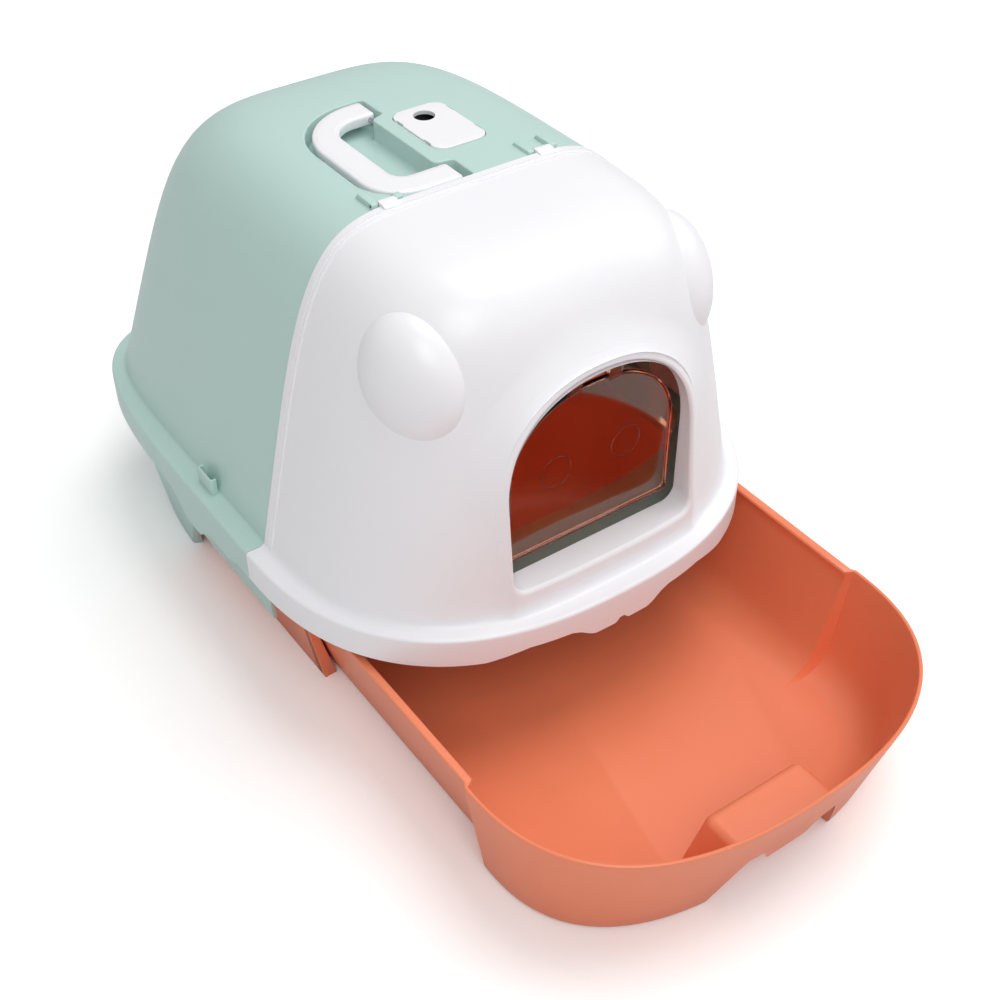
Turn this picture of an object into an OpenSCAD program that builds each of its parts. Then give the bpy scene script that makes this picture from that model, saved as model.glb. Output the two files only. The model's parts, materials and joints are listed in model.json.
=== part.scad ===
// Drawer litter box: a hooded cat toilet with a lift-up front hood, a swinging entry flap,
// a folding carry handle, a filter under a lid and a litter drawer that pulls out at the front.
// Millimetres. X runs right as seen from the front, Y runs to the back, Z runs up.
// The part stands on Z = 0, and its box at rest is centred on X = 0 and Y = 0.

/* [Hood] */
// Width over the flange
flange_w = 420; // [380:1:460]
// From the seam between the hoods to the front of the flange
front_len = 199; // [180:1:230]
// From the seam between the hoods to the back of the flange
rear_len = 345; // [300:1:380]
// Height of the top of the flange above the floor
flange_z = 138; // [134:1:150]
// Height of the skirt that hangs from the flange
skirt_h = 26; // [20:1:28]
// Height of the crown of the roof above the floor
roof_z = 391.4; // [376:0.2:416]
// Width of the flange outside the hood wall
flange_out = 16.5; // [14:0.5:20]
// Wall of the hoods
wall = 2.5; // [2:0.1:3.5]
// Thickness of the roof of the rear hood
roof_wall = 4.5; // [4:0.1:6]
// Gap between the two hoods at their seam
seam_gap = 0.6; // [0.4:0.1:1.2]

/* [Entry] */
// Half width of the entry
entry_hw = 82; // [70:1:86]
// Height of the sill of the entry above the floor
entry_sill = 159; // [155:1:170]
// Height of the top of the arch above the floor
entry_top = 316; // [300:1:320]
// Half width of the raised muzzle round the entry
muzzle_hw = 92; // [90:1:98]
// How far the flap stays inside the entry
flap_gap = 7; // [5:0.5:12]
// Thickness of the flap
flap_t = 2.4; // [2:0.1:3.5]
// Radius of the flap rod
rod_r = 2.2; // [1.8:0.1:2.6]

/* [Drawer] */
// Height of the rim of the drawer
drawer_h = 105; // [90:1:106]
// How far the rim of the drawer stays inside the edge of the flange
drawer_inset = 23; // [20:1:30]
// Length of the drawer
drawer_len = 471; // [440:1:480]
// How far the drawer stands out of the flange as pictured
drawer_out = 209; // [150:1:240]
// Wall of the drawer
drawer_wall = 3; // [2.5:0.1:4]
// Half width of the finger pull
pull_hw = 48; // [40:1:55]
// Height of the finger pull
pull_h = 62; // [50:1:70]

/* [Base] */
// Wall of the base frame
base_wall = 3; // [2.5:0.1:4]
// Clear gap between the skirt and the base frame
skirt_gap = 1.5; // [1:0.1:2.5]
// Depth of the step inside the entry
tread_d = 100; // [60:1:110]
// Height of the lower edge of the side walls
arch_z = 58; // [40:1:70]

/* [Handle and filter] */
// Length of the carry handle
handle_len = 145.5; // [134:0.5:149]
// Width of the bar of the handle
handle_bar = 24; // [20:0.5:25]
// Thickness of the handle
handle_t = 9; // [7:0.5:10]
// Reach of the handle from its pivot
handle_reach = 61.5; // [57:0.5:64]
// Width of the filter lid
lid_w = 46.5; // [40:0.5:48]
// Length of the filter lid
lid_l = 71; // [62:1:73]
// Diameter of the hole in the filter lid
lid_hole_d = 17; // [10:0.5:20]
// Radius of the hinge and handle pins
pin_r = 2; // [1.5:0.1:2.3]

/* [Hidden] */

mint = "#a9cfc2";
white = "#f4f3f7";
coral = "#e8764f";
amber = "#a8401c";
charcoal = "#3b3836";
steel = "#c4c7c9";

eps = 0.01;
fit = 0.05;                              // radial running fit of the turning joints
lay = 0.3;                               // gap under a piece that only rests on another
flange_hw = flange_w / 2;
hood_hw = flange_hw - flange_out;
drawer_hw = flange_hw - drawer_inset;    // half width of the bowed front of the drawer at its rim
skirt_z = flange_z - skirt_h;
total_len = rear_len + front_len + drawer_out;
seam_y = total_len / 2 - rear_len;
s_gap = seam_gap / 2;

// ---- shape of the hoods, as rounded sections that shrink towards the roof ----
flange_n_front = 2.45;
flange_n_rear = 5.2;
side_draft = 0.229;
side_turn_z = 114.8;
side_turn = 6.26;
front_draft = 0.148;
front_turn_z = 193;
front_turn = 5.8;
rear_draft = 0.191;
rear_turn_z = 198;
rear_turn = 6.1;
front_depth = front_len - 18;
rear_depth = rear_len - 23.5;

function clamp01(v) = min(1, max(0, v));
function mix(a, b, k) = a + (b - a) * k;
function smooth(v) = let (k = clamp01(v)) k * k * (3 - 2 * k);
// Where a ray at angle a meets a rounded square of half width 1
function squircle(a, n) = let (r = pow(pow(abs(cos(a)), n) + pow(abs(sin(a)), n), 1 / n)) [cos(a) / r, sin(a) / r];
function fade(z, z0, m, top) = pow(max(0, 1 - pow(clamp01((z - z0) / (top - z0)), m)), 1 / m);
function hood_x(z, top) = (hood_hw - side_draft * (z - flange_z)) * fade(z, side_turn_z, side_turn, top);
function hood_front(z, top) = (front_depth - front_draft * (z - flange_z)) * fade(z, front_turn_z, front_turn, top);
function hood_rear(z, top) = (rear_depth - rear_draft * (z - flange_z)) * fade(z, rear_turn_z, rear_turn, top);
function front_n(z) = 2.74 + 0.63 * clamp01((z - flange_z) / 230);
function rear_n(z) = 7.1 - 2.9 * clamp01((z - flange_z) / 230);
// Heights of the rows of a hood, close together where the wall turns into the roof
shoulder_z = 326;
function row_z(k, low, high, top) =
    let (f = fade(shoulder_z, side_turn_z, side_turn, top) * (1 - (k - low) / high))
    k <= low ? mix(flange_z, shoulder_z, k / low)
             : side_turn_z + (top - side_turn_z) * pow(1 - pow(max(0, f), side_turn), 1 / side_turn);

// A closed skin from an outer and an inner grid of points. The last row of each is one point.
function grid_id(r, c, nr, nc) = r == nr - 1 ? r * nc : r * nc + c;
function tidy(faces) = [for (f = faces) if (f[0] != f[1] && f[1] != f[2] && f[2] != f[0]) f];
module skin(outer, inner, flip) {
    nr = len(outer);
    nc = len(outer[0]);
    base = nr * nc;
    pts = concat([for (r = outer) each r], [for (r = inner) each r]);
    sheets = [for (r = [0 : nr - 2]) for (c = [0 : nc - 2])
        let (a = grid_id(r, c, nr, nc), b = grid_id(r, c + 1, nr, nc),
             d = grid_id(r + 1, c, nr, nc), e = grid_id(r + 1, c + 1, nr, nc))
        each [[a, d, e], [a, e, b], [base + a, base + e, base + d], [base + a, base + b, base + e]]];
    foot = [for (c = [0 : nc - 2]) each [[c, c + 1, base + c + 1], [c, base + c + 1, base + c]]];
    ends = [for (r = [0 : nr - 2])
        let (a = grid_id(r, 0, nr, nc), d = grid_id(r + 1, 0, nr, nc),
             b = grid_id(r, nc - 1, nr, nc), e = grid_id(r + 1, nc - 1, nr, nc))
        each [[a, base + a, base + d], [a, base + d, d], [b, base + e, base + b], [b, e, base + e]]];
    faces = tidy(concat(sheets, foot, ends));
    polyhedron(pts, flip ? [for (f = faces) [f[0], f[2], f[1]]] : faces, convexity = 10);
}

// The solid under a grid of rows, closed by its seam plane and by its foot
module core(g, flip) {
    nr = len(g);
    nc = len(g[0]);
    pts = concat([for (r = g) each r], [[0, g[0][0][1], g[0][0][2]]]);
    hub = nr * nc;
    sheets = [for (r = [0 : nr - 2]) for (c = [0 : nc - 2])
        let (a = grid_id(r, c, nr, nc), b = grid_id(r, c + 1, nr, nc),
             d = grid_id(r + 1, c, nr, nc), e = grid_id(r + 1, c + 1, nr, nc))
        each [[a, d, e], [a, e, b]]];
    foot = [for (c = [0 : nc - 2]) [hub, c, c + 1]];
    ends = [for (r = [0 : nr - 2])
        let (a = grid_id(r, 0, nr, nc), d = grid_id(r + 1, 0, nr, nc),
             b = grid_id(r, nc - 1, nr, nc), e = grid_id(r + 1, nc - 1, nr, nc))
        each [[hub, d, a], [hub, b, e]]];
    faces = tidy(concat(sheets, foot, ends));
    polyhedron(pts, flip ? [for (f = faces) [f[0], f[2], f[1]]] : faces, convexity = 6);
}

// Rounded outlines for flat pieces
function arc(cx, cy, r, a0, a1, n) = [for (i = [0 : n]) let (a = mix(a0, a1, i / n)) [cx + r * cos(a), cy + r * sin(a)]];
function rounded(x0, y0, x1, y1, r, n = 6) = concat(arc(x1 - r, y0 + r, r, -90, 0, n), arc(x1 - r, y1 - r, r, 0, 90, n),
    arc(x0 + r, y1 - r, r, 90, 180, n), arc(x0 + r, y0 + r, r, 180, 270, n));
module plate(points, z0, z1) {
    translate([0, 0, z0]) linear_extrude(z1 - z0) polygon(points);
}
// An arch in the X-Z plane, with rounded lower corners
arch_n = 2.2;
function arch(hw, low, spring, top, r) = concat(
    [for (i = [0 : 24]) let (p = squircle(180 * i / 24, arch_n)) [hw * p[0], spring + (top - spring) * p[1]]],
    arc(-hw + r + 2, low + r, r, 180, 270, 5), arc(hw - r - 2, low + r, r, 270, 360, 5));
module upright(points, y0, y1) {
    translate([0, y1, 0]) rotate([90, 0, 0]) linear_extrude(y1 - y0) polygon(points);
}

// ---- muzzle, ears and entry of the front hood ----
spring_z = mix(entry_sill, entry_top, 0.48);
muzzle_y = -172;                         // front of the muzzle at its foot, from the seam
muzzle_lean = 0.06;
entry_y = -161;
entry_lean = 0.022;
lip_t = 2.5;
function muzzle_face(z) = muzzle_y + muzzle_lean * (z - flange_z);
function entry_plane(z) = entry_y + entry_lean * (z - entry_sill);
// The front of the hood at one x and z, from the seam
function hood_y(x, z) = let (n = front_n(z), u = min(1, abs(x) / hood_x(z, roof_z)))
    -hood_front(z, roof_z) * pow(max(0, 1 - pow(u, n)), 1 / n);
function rim_y(x, z) = min(muzzle_face(z), hood_y(x, z) - 0.3);
// The outline of the entry, grown by o
function entry_outline(o) = arch(entry_hw + o, entry_sill - 1.2 * o, spring_z, entry_top + 1.25 * o, 12 + 0.4 * o);
// The sloping frame round the entry: eight points of its section at every point of the outline
module muzzle() {
    off = [muzzle_hw - entry_hw - 0.5, muzzle_hw - entry_hw + 2, muzzle_hw - entry_hw + 6, muzzle_hw - entry_hw + 2.5,
           muzzle_hw - entry_hw - 1.5, 0, 0, muzzle_hw - entry_hw - 3];
    out = [for (o = off) entry_outline(o)];
    n = len(out[0]);
    pts = [for (i = [0 : n - 1]) for (j = [0 : 7]) let (x = out[j][i][0], z = out[j][i][1], r = rim_y(x, z), h = hood_y(x, z))
        [x, seam_y + [r, r + 3, max(r + 4, h + 1.2), max(r + 5.5, h + 2.4), entry_plane(z) + lip_t,
                      entry_plane(z) + lip_t, entry_plane(z), r][j], z]];
    faces = [for (i = [0 : n - 1]) for (j = [0 : 7])
        let (i2 = (i + 1) % n, j2 = (j + 1) % 8, a = 8 * i + j, b = 8 * i2 + j, c = 8 * i2 + j2, d = 8 * i + j2)
        each [[a, b, c], [a, c, d]]];
    polyhedron(pts, faces, convexity = 6);
}
ear = [112, -99, 325];                 // centre of an ear, from the seam
ear_r = [36, 45, 45];
ear_rows = 12;
ear_cols = 24;
// An ear as an egg-shaped solid, drawn in by cut
module egg(s, cut) {
    r = [ear_r[0] - cut, ear_r[1] - cut, ear_r[2] - cut];
    pts = concat([[0, 0, r[2]]], [for (i = [1 : ear_rows - 1]) for (j = [0 : ear_cols - 1])
        let (u = 180 * i / ear_rows, v = 360 * j / ear_cols)
        [r[0] * sin(u) * cos(v), r[1] * sin(u) * sin(v), r[2] * cos(u)]], [[0, 0, -r[2]]]);
    last = len(pts) - 1;
    faces = concat([for (j = [0 : ear_cols - 1]) [0, 1 + (j + 1) % ear_cols, 1 + j]],
        [for (i = [0 : ear_rows - 3]) for (j = [0 : ear_cols - 1])
            let (a = 1 + i * ear_cols + j, b = 1 + i * ear_cols + (j + 1) % ear_cols)
            each [[a, b, b + ear_cols], [a, b + ear_cols, a + ear_cols]]],
        [for (j = [0 : ear_cols - 1]) [last, last - ear_cols + j, last - ear_cols + (j + 1) % ear_cols]]);
    translate([s * ear[0], seam_y + ear[1], ear[2]]) polyhedron(pts, faces, convexity = 2);
}

front_cols = 44;
front_low = 9;
front_high = 9;
function tab_z(x) = let (a = abs(x))
    a < 16 ? skirt_z - 4.5 : a < 24 ? mix(skirt_z - 4.5, skirt_z + 6, (a - 16) / 8)
    : a < 80 ? skirt_z + 6 : a < 110 ? mix(skirt_z + 6, skirt_z, (a - 80) / 30) : skirt_z;
function front_ring(w, d, n, z) = [for (c = [0 : front_cols])
    let (p = squircle(180 * c / front_cols, n), x = w * p[0])
    [x, seam_y - s_gap - d * p[1], z == "skirt" ? tab_z(x) : z]];
function front_row(k, cut, top) = let (z = row_z(k, front_low, front_high, top))
    front_ring(max(0, hood_x(z, top) - cut), max(0, hood_front(z, top) - cut - s_gap), front_n(z), k == 0 ? flange_z - cut : z);
function front_grid(cut) = concat(
    [front_ring(flange_hw - cut, front_len - s_gap - cut, flange_n_front, "skirt"),
     front_ring(flange_hw - cut, front_len - s_gap - cut, flange_n_front, flange_z - cut)],
    [for (k = [0 : front_low + front_high]) front_row(k, cut, roof_z - cut)]);

// ---- hinge between the hoods ----
hinge_x = 67.3;
hinge_y = 2.5;                           // close to the seam, so that the open hood stands clear of a raised handle
hinge_z = roof_z + 0.5;
hinge_pin_r = 1.2;
strap_w = 14;
lug_t = 5.5;
lug_l = 23.5;                            // length of a lug, from the seam
lug_gap = 0.5;
pin_in = 58;                             // inner end of a hinge pin, which stops inside the inner lug
knuckle_r = hinge_pin_r + 1.2;
lug_x = hinge_x - strap_w / 2 - lug_gap - lug_t;
lug_w = strap_w + 2 * lug_gap + 2 * lug_t;
strap_run = 7;                           // how far the strap lies on the roof of the front hood
module strap() {
    translate([-strap_w / 2, seam_y + hinge_y, hinge_z]) rotate([0, 90, 0]) cylinder(r = knuckle_r, h = strap_w, $fn = 32);
    translate([-strap_w / 2, seam_y, 0]) rotate([90, 0, 90]) linear_extrude(strap_w) polygon([
        [hinge_y, hinge_z + knuckle_r - 0.2], [-strap_run + 1.5, roof_z + 1.8], [-strap_run, roof_z + 0.5],
        [-strap_run, roof_z - 2.4], [-1, roof_z - 2.4], [hinge_y, hinge_z - knuckle_r + 0.2]]);
}
module hinge_straps() {
    color(white) difference() {
        for (s = [-1, 1]) translate([s * hinge_x, 0, 0]) strap();
        translate([-hinge_x - strap_w, seam_y + hinge_y, hinge_z]) rotate([0, 90, 0])
            cylinder(r = hinge_pin_r + fit, h = 2 * (hinge_x + strap_w), $fn = 32);
    }
}

// ---- flap and its rod ----
rod_y = -152;
rod_z = entry_top - 5;
rod_hl = 48;
knuckle_flap = rod_r + 1.4;
hanger_x = 18;
hanger_w = 12;
bracket_t = 4;
flap_hw = entry_hw - flap_gap;
flap_low = entry_sill + 11;
flap_top = entry_top - 13;
module front_hood() {
    color(white) difference() {
        union() {
            difference() {
                skin(front_grid(0), front_grid(wall), true);
                upright(entry_outline(muzzle_hw - entry_hw - 2), seam_y + muzzle_y - 20, seam_y + rod_y + 60);
            }
            muzzle();
            for (s = [-1, 1]) difference() {
                egg(s, 0);
                core([for (k = [0 : front_low + front_high]) front_row(k, wall - 0.3, roof_z - wall + 0.3)], true);
            }
            for (s = [-1, 1]) {
                translate([s * (rod_hl - bracket_t / 2) - bracket_t / 2, seam_y + rod_y - 4.4, rod_z - 4])
                    cube([bracket_t, 8.6, 9]);
            }
        }
        for (s = [-1, 1]) egg(s, wall);
        for (s = [-1, 1]) translate([s * hinge_x, 0, 0]) strap();
        translate([-rod_hl - 1, seam_y + rod_y, rod_z]) rotate([0, 90, 0])
            cylinder(r = rod_r, h = 2 * rod_hl + 2, $fn = 32);
    }
}
module flap_rod() {
    color(steel) translate([-rod_hl, seam_y + rod_y, rod_z]) rotate([0, 90, 0])
        cylinder(r = rod_r, h = 2 * rod_hl, $fn = 32);
}
module entry_flap() {
    y0 = seam_y + rod_y - flap_t / 2;
    y1 = y0 + flap_t;
    rib = 1.4;
    color(amber) difference() {
        union() {
            upright(arch(flap_hw, flap_low, spring_z, flap_top, 7), y0, y1);
            difference() {
                upright(arch(flap_hw, flap_low, spring_z, flap_top, 7), y0 - rib, y1 + rib);
                upright(arch(flap_hw - 2.5, flap_low + 2.5, spring_z, flap_top - 2.5, 5), y0 - rib - 1, y1 + rib + 1);
            }
            for (s = [-1, 1]) {
                translate([s * hanger_x - hanger_w / 2, y0, flap_top - 26]) cube([hanger_w, flap_t, rod_z - flap_top + 26]);
                translate([s * hanger_x - hanger_w / 2, seam_y + rod_y, rod_z]) rotate([0, 90, 0])
                    cylinder(r = knuckle_flap, h = hanger_w, $fn = 32);
                translate([s * 31.5, y0 + eps, mix(flap_low, flap_top, 0.49)]) rotate([90, 0, 0]) difference() {
                    cylinder(r = 14, h = 0.7, $fn = 48);
                    translate([0, 0, -1]) cylinder(r = 13, h = 3, $fn = 48);
                }
            }
        }
        translate([-rod_hl, seam_y + rod_y, rod_z]) rotate([0, 90, 0]) cylinder(r = rod_r + fit, h = 2 * rod_hl, $fn = 32);
    }
}

// ---- rear hood ----
rear_cols = 36;
rear_low = 8;
rear_high = 9;
function skirt_wave(y) = y < 42 || y > 168 ? skirt_z : y < 55 ? mix(skirt_z, skirt_z - 6, (y - 42) / 13)
    : y < 100 ? mix(skirt_z - 6, skirt_z - 20, (y - 55) / 45) : y < 124 ? skirt_z - 20
    : mix(skirt_z - 20, skirt_z, (y - 124) / 44);
function rear_ring(w, d, n, z) = [for (c = [0 : rear_cols])
    let (p = squircle(180 * c / rear_cols, n), y = s_gap + d * p[1])
    [w * p[0], seam_y + y, z == "skirt" ? skirt_wave(y) : z]];
function rear_row(k, cut, top) =
    let (z = row_z(k, rear_low, rear_high, top))
    rear_ring(max(0, hood_x(z, top) - cut), max(0, hood_rear(z, top) - cut - s_gap), rear_n(z), k == 0 ? flange_z - cut : z);
function rear_grid(cut, top) = concat(
    [rear_ring(flange_hw - cut, rear_len - s_gap - cut, flange_n_rear, "skirt"),
     rear_ring(flange_hw - cut, rear_len - s_gap - cut, flange_n_rear, flange_z - cut)],
    [for (k = [0 : rear_low + rear_high]) rear_row(k, cut, top)]);

// Handle recess, in plan from the seam
pocket_floor = roof_z - 17;
pocket_wall = 2.2;
pocket_y0 = 1.5;
pocket_y1 = pocket_y0 + handle_len + 4.5;
pivot_x = -5.5;
pivot_z = roof_z - handle_t / 2;
pocket_left = pivot_x - handle_reach - 5;
bay_x = 6;                               // right end of the front bay that holds an end of the handle
block_x = -9;                            // left face of the block between the bays
bay_d = handle_bar + 2.5;
corner_back = 57;                        // outer radius of the handle at its back left corner
corner_front = 34;
function pocket_outline(o) = [for (p = concat(
    arc(pocket_left + corner_back + 1, pocket_y1 - corner_back - 1, corner_back + 1 + o, 90, 180, 12),
    arc(pocket_left + corner_front + 4, pocket_y0 + corner_front + 4, corner_front + 4 + o, 180, 270, 10),
    [[bay_x + o, pocket_y0 - o], [bay_x + o, pocket_y0 + bay_d + o], [block_x + o, pocket_y0 + bay_d + 3 + o],
     [block_x + o, pocket_y1 - bay_d - 8 - o], [bay_x - 3 + o, pocket_y1 - bay_d - 4 - o], [bay_x - 3 + o, pocket_y1 + o]]))
    [p[0], seam_y + p[1]]];
lid_x = 27.2;
lid_y = 79;
lid_gap = 0.5;
lid_r = 11;
lid_z = roof_z - 2.2;                    // underside of the plate of the lid
seat_z = roof_z - 6;                     // ledge that carries the basket
ledge = 4;
function lid_outline(o) = rounded(lid_x - lid_w / 2 - o, seam_y + lid_y - lid_l / 2 - o,
    lid_x + lid_w / 2 + o, seam_y + lid_y + lid_l / 2 + o, lid_r + o);
module rear_core(cut) {
    core([for (k = [0 : rear_low + rear_high]) rear_row(k, cut, roof_z - cut)], false);
}
// The lugs of one hinge with the filling under them, kept clear of the folded handle
module lugs(s) {
    difference() {
        translate([s * hinge_x - lug_w / 2, seam_y, 0]) {
            for (x = [0, lug_w - lug_t]) translate([x, 0, 0]) rotate([90, 0, 90]) linear_extrude(lug_t)
                polygon([[0.4, roof_z - 8], [0.4, roof_z + 1.6], [1.6, roof_z + 2.8], [lug_l - 4, roof_z + 2.8],
                    [lug_l, roof_z - 0.5], [lug_l, roof_z - 8]]);
        }
        translate([0, seam_y, 0]) plate(handle_outline(1.2), roof_z - 9, roof_z + 6);
    }
}
module lug_cuts() {
    for (s = [-1, 1]) translate([s * hinge_x - strap_w / 2 - lug_gap, seam_y - 1, hinge_z - knuckle_r - 0.5])
        cube([strap_w + 2 * lug_gap, hinge_y + knuckle_r + 1.6, 12]);
    hinge_bores(hinge_pin_r);
}
module rear_hood() {
    color(mint) difference() {
        union() {
            skin(rear_grid(0, roof_z), rear_grid(wall, roof_z - roof_wall), false);
            intersection() {
                union() {
                    plate(lid_outline(pocket_wall + lid_gap), seat_z - 3, roof_z);
                    for (s = [-1, 1]) translate([s * hinge_x - lug_w / 2, seam_y, roof_z - 9]) cube([lug_w, lug_l, 12]);
                }
                rear_core(0.4);
            }
            for (s = [-1, 1]) lugs(s);
        }
        plate(pocket_outline(pocket_wall), pocket_floor - 5, roof_z + 6);
        plate(lid_outline(lid_gap), seat_z, roof_z + 5);
        plate(lid_outline(-ledge), seat_z - 10, roof_z + 5);
        lug_cuts();
        handle_bore(pin_r);
        for (s = [-1, 1]) clip_slot(s);
    }
}
// The sunk tray that takes the folded handle, drawn as a piece of its own
module handle_recess() {
    color(mint) difference() {
        union() {
            difference() {
                intersection() {
                    plate(pocket_outline(pocket_wall), pocket_floor - pocket_wall, roof_z + 1);
                    rear_core(0);
                }
                plate(pocket_outline(0), pocket_floor, roof_z + 5);
            }
            intersection() {
                plate(pocket_outline(pocket_wall), roof_z - 8, roof_z + 6);
                lugs(-1);
            }
        }
        lug_cuts();
        handle_bore(pin_r);
    }
}
module hinge_bores(r) {
    for (s = [-1, 1]) translate([s > 0 ? pin_in : -hinge_x - lug_w / 2, seam_y + hinge_y, hinge_z]) rotate([0, 90, 0])
        cylinder(r = r, h = hinge_x + lug_w / 2 - pin_in, $fn = 32);
}
module handle_bore(r) {
    translate([pivot_x, seam_y + 0.9, pivot_z]) rotate([-90, 0, 0]) cylinder(r = r, h = bay_d + 8, $fn = 32);
    translate([pivot_x, seam_y + pocket_y1 - bay_d - 14, pivot_z]) rotate([-90, 0, 0])
        cylinder(r = r, h = bay_d + 15.5, $fn = 32);
}
module hinge_pins() {
    color(steel) hinge_bores(hinge_pin_r);
}
module handle_pins() {
    color(steel) handle_bore(pin_r);
}

// ---- carry handle, folded flat to the left ----
handle_y0 = pocket_y0 + 1.9;
handle_y1 = handle_y0 + handle_len;
handle_z0 = pivot_z - handle_t / 2;
// The handle in plan from the seam, grown by o
function handle_outline(o) = let (x0 = pivot_x - handle_reach, w = handle_bar, ri = 24, rj = 12)
    concat([[pivot_x, handle_y0 - o], [pivot_x, handle_y0 + w + o]],
        arc(x0 + w + rj, handle_y0 + w + rj, rj - o, 270, 180, 6),
        arc(x0 + w + ri, handle_y1 - w - ri, ri - o, 180, 90, 8),
        [[pivot_x, handle_y1 - w - o], [pivot_x, handle_y1 + o]],
        arc(x0 + corner_back, handle_y1 - corner_back, corner_back + o, 90, 180, 12),
        arc(x0 + corner_front, handle_y0 + corner_front, corner_front + o, 180, 270, 10));
module carry_handle() {
    color(white) translate([0, seam_y, 0]) difference() {
        union() {
            plate(handle_outline(0), handle_z0, handle_z0 + handle_t);
            for (y = [handle_y0, handle_y1 - handle_bar]) translate([pivot_x, y, pivot_z]) rotate([-90, 0, 0])
                cylinder(r = handle_t / 2, h = handle_bar, $fn = 32);
        }
        translate([pivot_x, -5, pivot_z]) rotate([-90, 0, 0]) cylinder(r = pin_r + fit, h = handle_len + 30, $fn = 32);
    }
}

// ---- filter under its lid ----
module deodoriser_lid() {
    color(white) difference() {
        union() {
            plate(lid_outline(0), lid_z, lid_z + 3);
            difference() {
                plate(lid_outline(-0.6), seat_z + 2.2 + lay, lid_z + eps);
                plate(lid_outline(-2.8), seat_z, lid_z + 1);
            }
        }
        translate([lid_x - 1, seam_y + lid_y + lid_l / 2 - 16.7, lid_z - 1]) cylinder(d = lid_hole_d, h = 6, $fn = 40);
    }
}
basket_d = 22;
module deodoriser_basket() {
    color(charcoal) difference() {
        union() {
            plate(lid_outline(-0.4), seat_z, seat_z + 2.2);
            plate(lid_outline(-ledge - 0.6), seat_z - basket_d, seat_z + eps);
        }
        plate(lid_outline(-ledge - 2.4), seat_z - basket_d + 2, seat_z + 5);
        for (i = [-3 : 3]) translate([lid_x - 10, seam_y + lid_y + 7 * i - 1.5, seat_z - basket_d - 1]) cube([20, 3, 4]);
    }
}
module charcoal_pack() {
    color(charcoal) plate(lid_outline(-ledge - 3), seat_z - basket_d + 2, seat_z - 6);
}

// ---- clips that hold the rear hood on the base ----
clip_y = 75;
clip_l = 24;
clip_out = hood_hw + 6.5;
clip_in = hood_hw + 1;
clip_t = 2;
clip_h = 17.5;
module clip_slot(s) {
    x0 = s > 0 ? clip_in - 0.05 : -clip_out - 0.05;
    translate([x0, seam_y + clip_y - 0.05, flange_z - wall - 1]) cube([clip_out - clip_in + 0.1, clip_l + 0.1, wall + 2]);
}
module side_clip(s) {
    x0 = s > 0 ? clip_out - clip_t : -clip_out;
    x1 = s > 0 ? clip_in : -clip_out;
    color(mint) union() {
        translate([x0, seam_y + clip_y, flange_z - wall]) cube([clip_t, clip_l, clip_h]);
        translate([x1, seam_y + clip_y, flange_z - wall]) cube([clip_out - clip_in, clip_t, clip_h]);
        translate([x1, seam_y + clip_y + clip_l - clip_t, flange_z - wall]) cube([clip_out - clip_in, clip_t, clip_h]);
    }
}

// ---- base frame: a ring under the flange with side walls, rear legs and the entry step ----
base_top = flange_z - wall - lay;
base_hw = flange_hw - wall - skirt_gap;
base_front = front_len - wall - skirt_gap;
base_rear = rear_len - wall - skirt_gap;
base_draft = 0.196;
ledge_t = 3;
inner_hw = flange_hw - 23;
tread_front = front_len - 5 - tread_d;
inner_rear = rear_len - 30;
// Lower edge round the ring: the front bar, the raised side walls and the legs at the back corners
front_angles = [90, 82, 74, 66, 58, 50, 43, 36, 30, 24, 18, 12, 8, 4, 2.4];
leg = [21, 28, 53, 57.5];                // angles where a leg starts, meets the floor, leaves it and ends
rear_angles = [0, 10, leg[0], 24, leg[1], 32, 36, 39, 42, 45, 48, 51, leg[2], leg[3], 68, 79, 90];
function front_low_z(a) = a >= 4 ? skirt_z + 1 : arch_z;
function rear_low_z(a) = a <= leg[0] || a >= leg[3] ? arch_z
    : max(0, arch_z * (1 - (a - leg[0]) / (leg[1] - leg[0])), arch_z * (a - leg[2]) / (leg[3] - leg[2]));
function oval(a, w, d, n) = let (p = squircle(a, n)) [w * p[0], d * p[1]];
// One section through the ring, as six points, on the right-hand side
function base_section(a, rear) =
    let (zl = rear ? rear_low_z(a) : front_low_z(a), k = base_draft * (base_top - zl), s = rear ? 1 : -1,
         d = rear ? base_rear : base_front, n = rear ? flange_n_rear : flange_n_front, t = base_wall,
         k2 = base_draft * ledge_t, li = rear ? inner_rear : tread_front, ni = rear ? flange_n_rear : 3,
         p = [oval(a, base_hw - k, d - k, n), oval(a, base_hw, d, n), oval(a, inner_hw, li, ni),
              oval(a, inner_hw, li, ni), oval(a, base_hw - t - k2, d - t - k2, n), oval(a, base_hw - t - k, d - t - k, n)],
         z = [zl, base_top, base_top, base_top - ledge_t, base_top - ledge_t, zl])
    [for (i = [0 : 5]) [p[i][0], seam_y + s * p[i][1], z[i]]];
module base_frame() {
    half = concat([for (a = front_angles) base_section(a, false)], [for (a = rear_angles) base_section(a, true)]);
    n = len(half);
    ring = concat(half, [for (i = [n - 2 : -1 : 1]) [for (p = half[i]) [-p[0], p[1], p[2]]]]);
    m = len(ring);
    pts = [for (r = ring) each r];
    faces = [for (i = [0 : m - 1]) for (j = [0 : 5])
        let (i2 = (i + 1) % m, j2 = (j + 1) % 6, a = 6 * i + j, b = 6 * i2 + j, c = 6 * i2 + j2, d = 6 * i + j2)
        each [[a, c, b], [a, d, c]]];
    color(mint) polyhedron(pts, faces, convexity = 8);
}

// ---- litter drawer, part pulled out ----
d_front = seam_y - front_len - drawer_out;      // front of the rim
bow_d = 147;                                    // depth of the bowed front at the rim
jog_y = d_front + bow_d;
d_back = d_front + drawer_len;
floor_t = 5;
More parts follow.
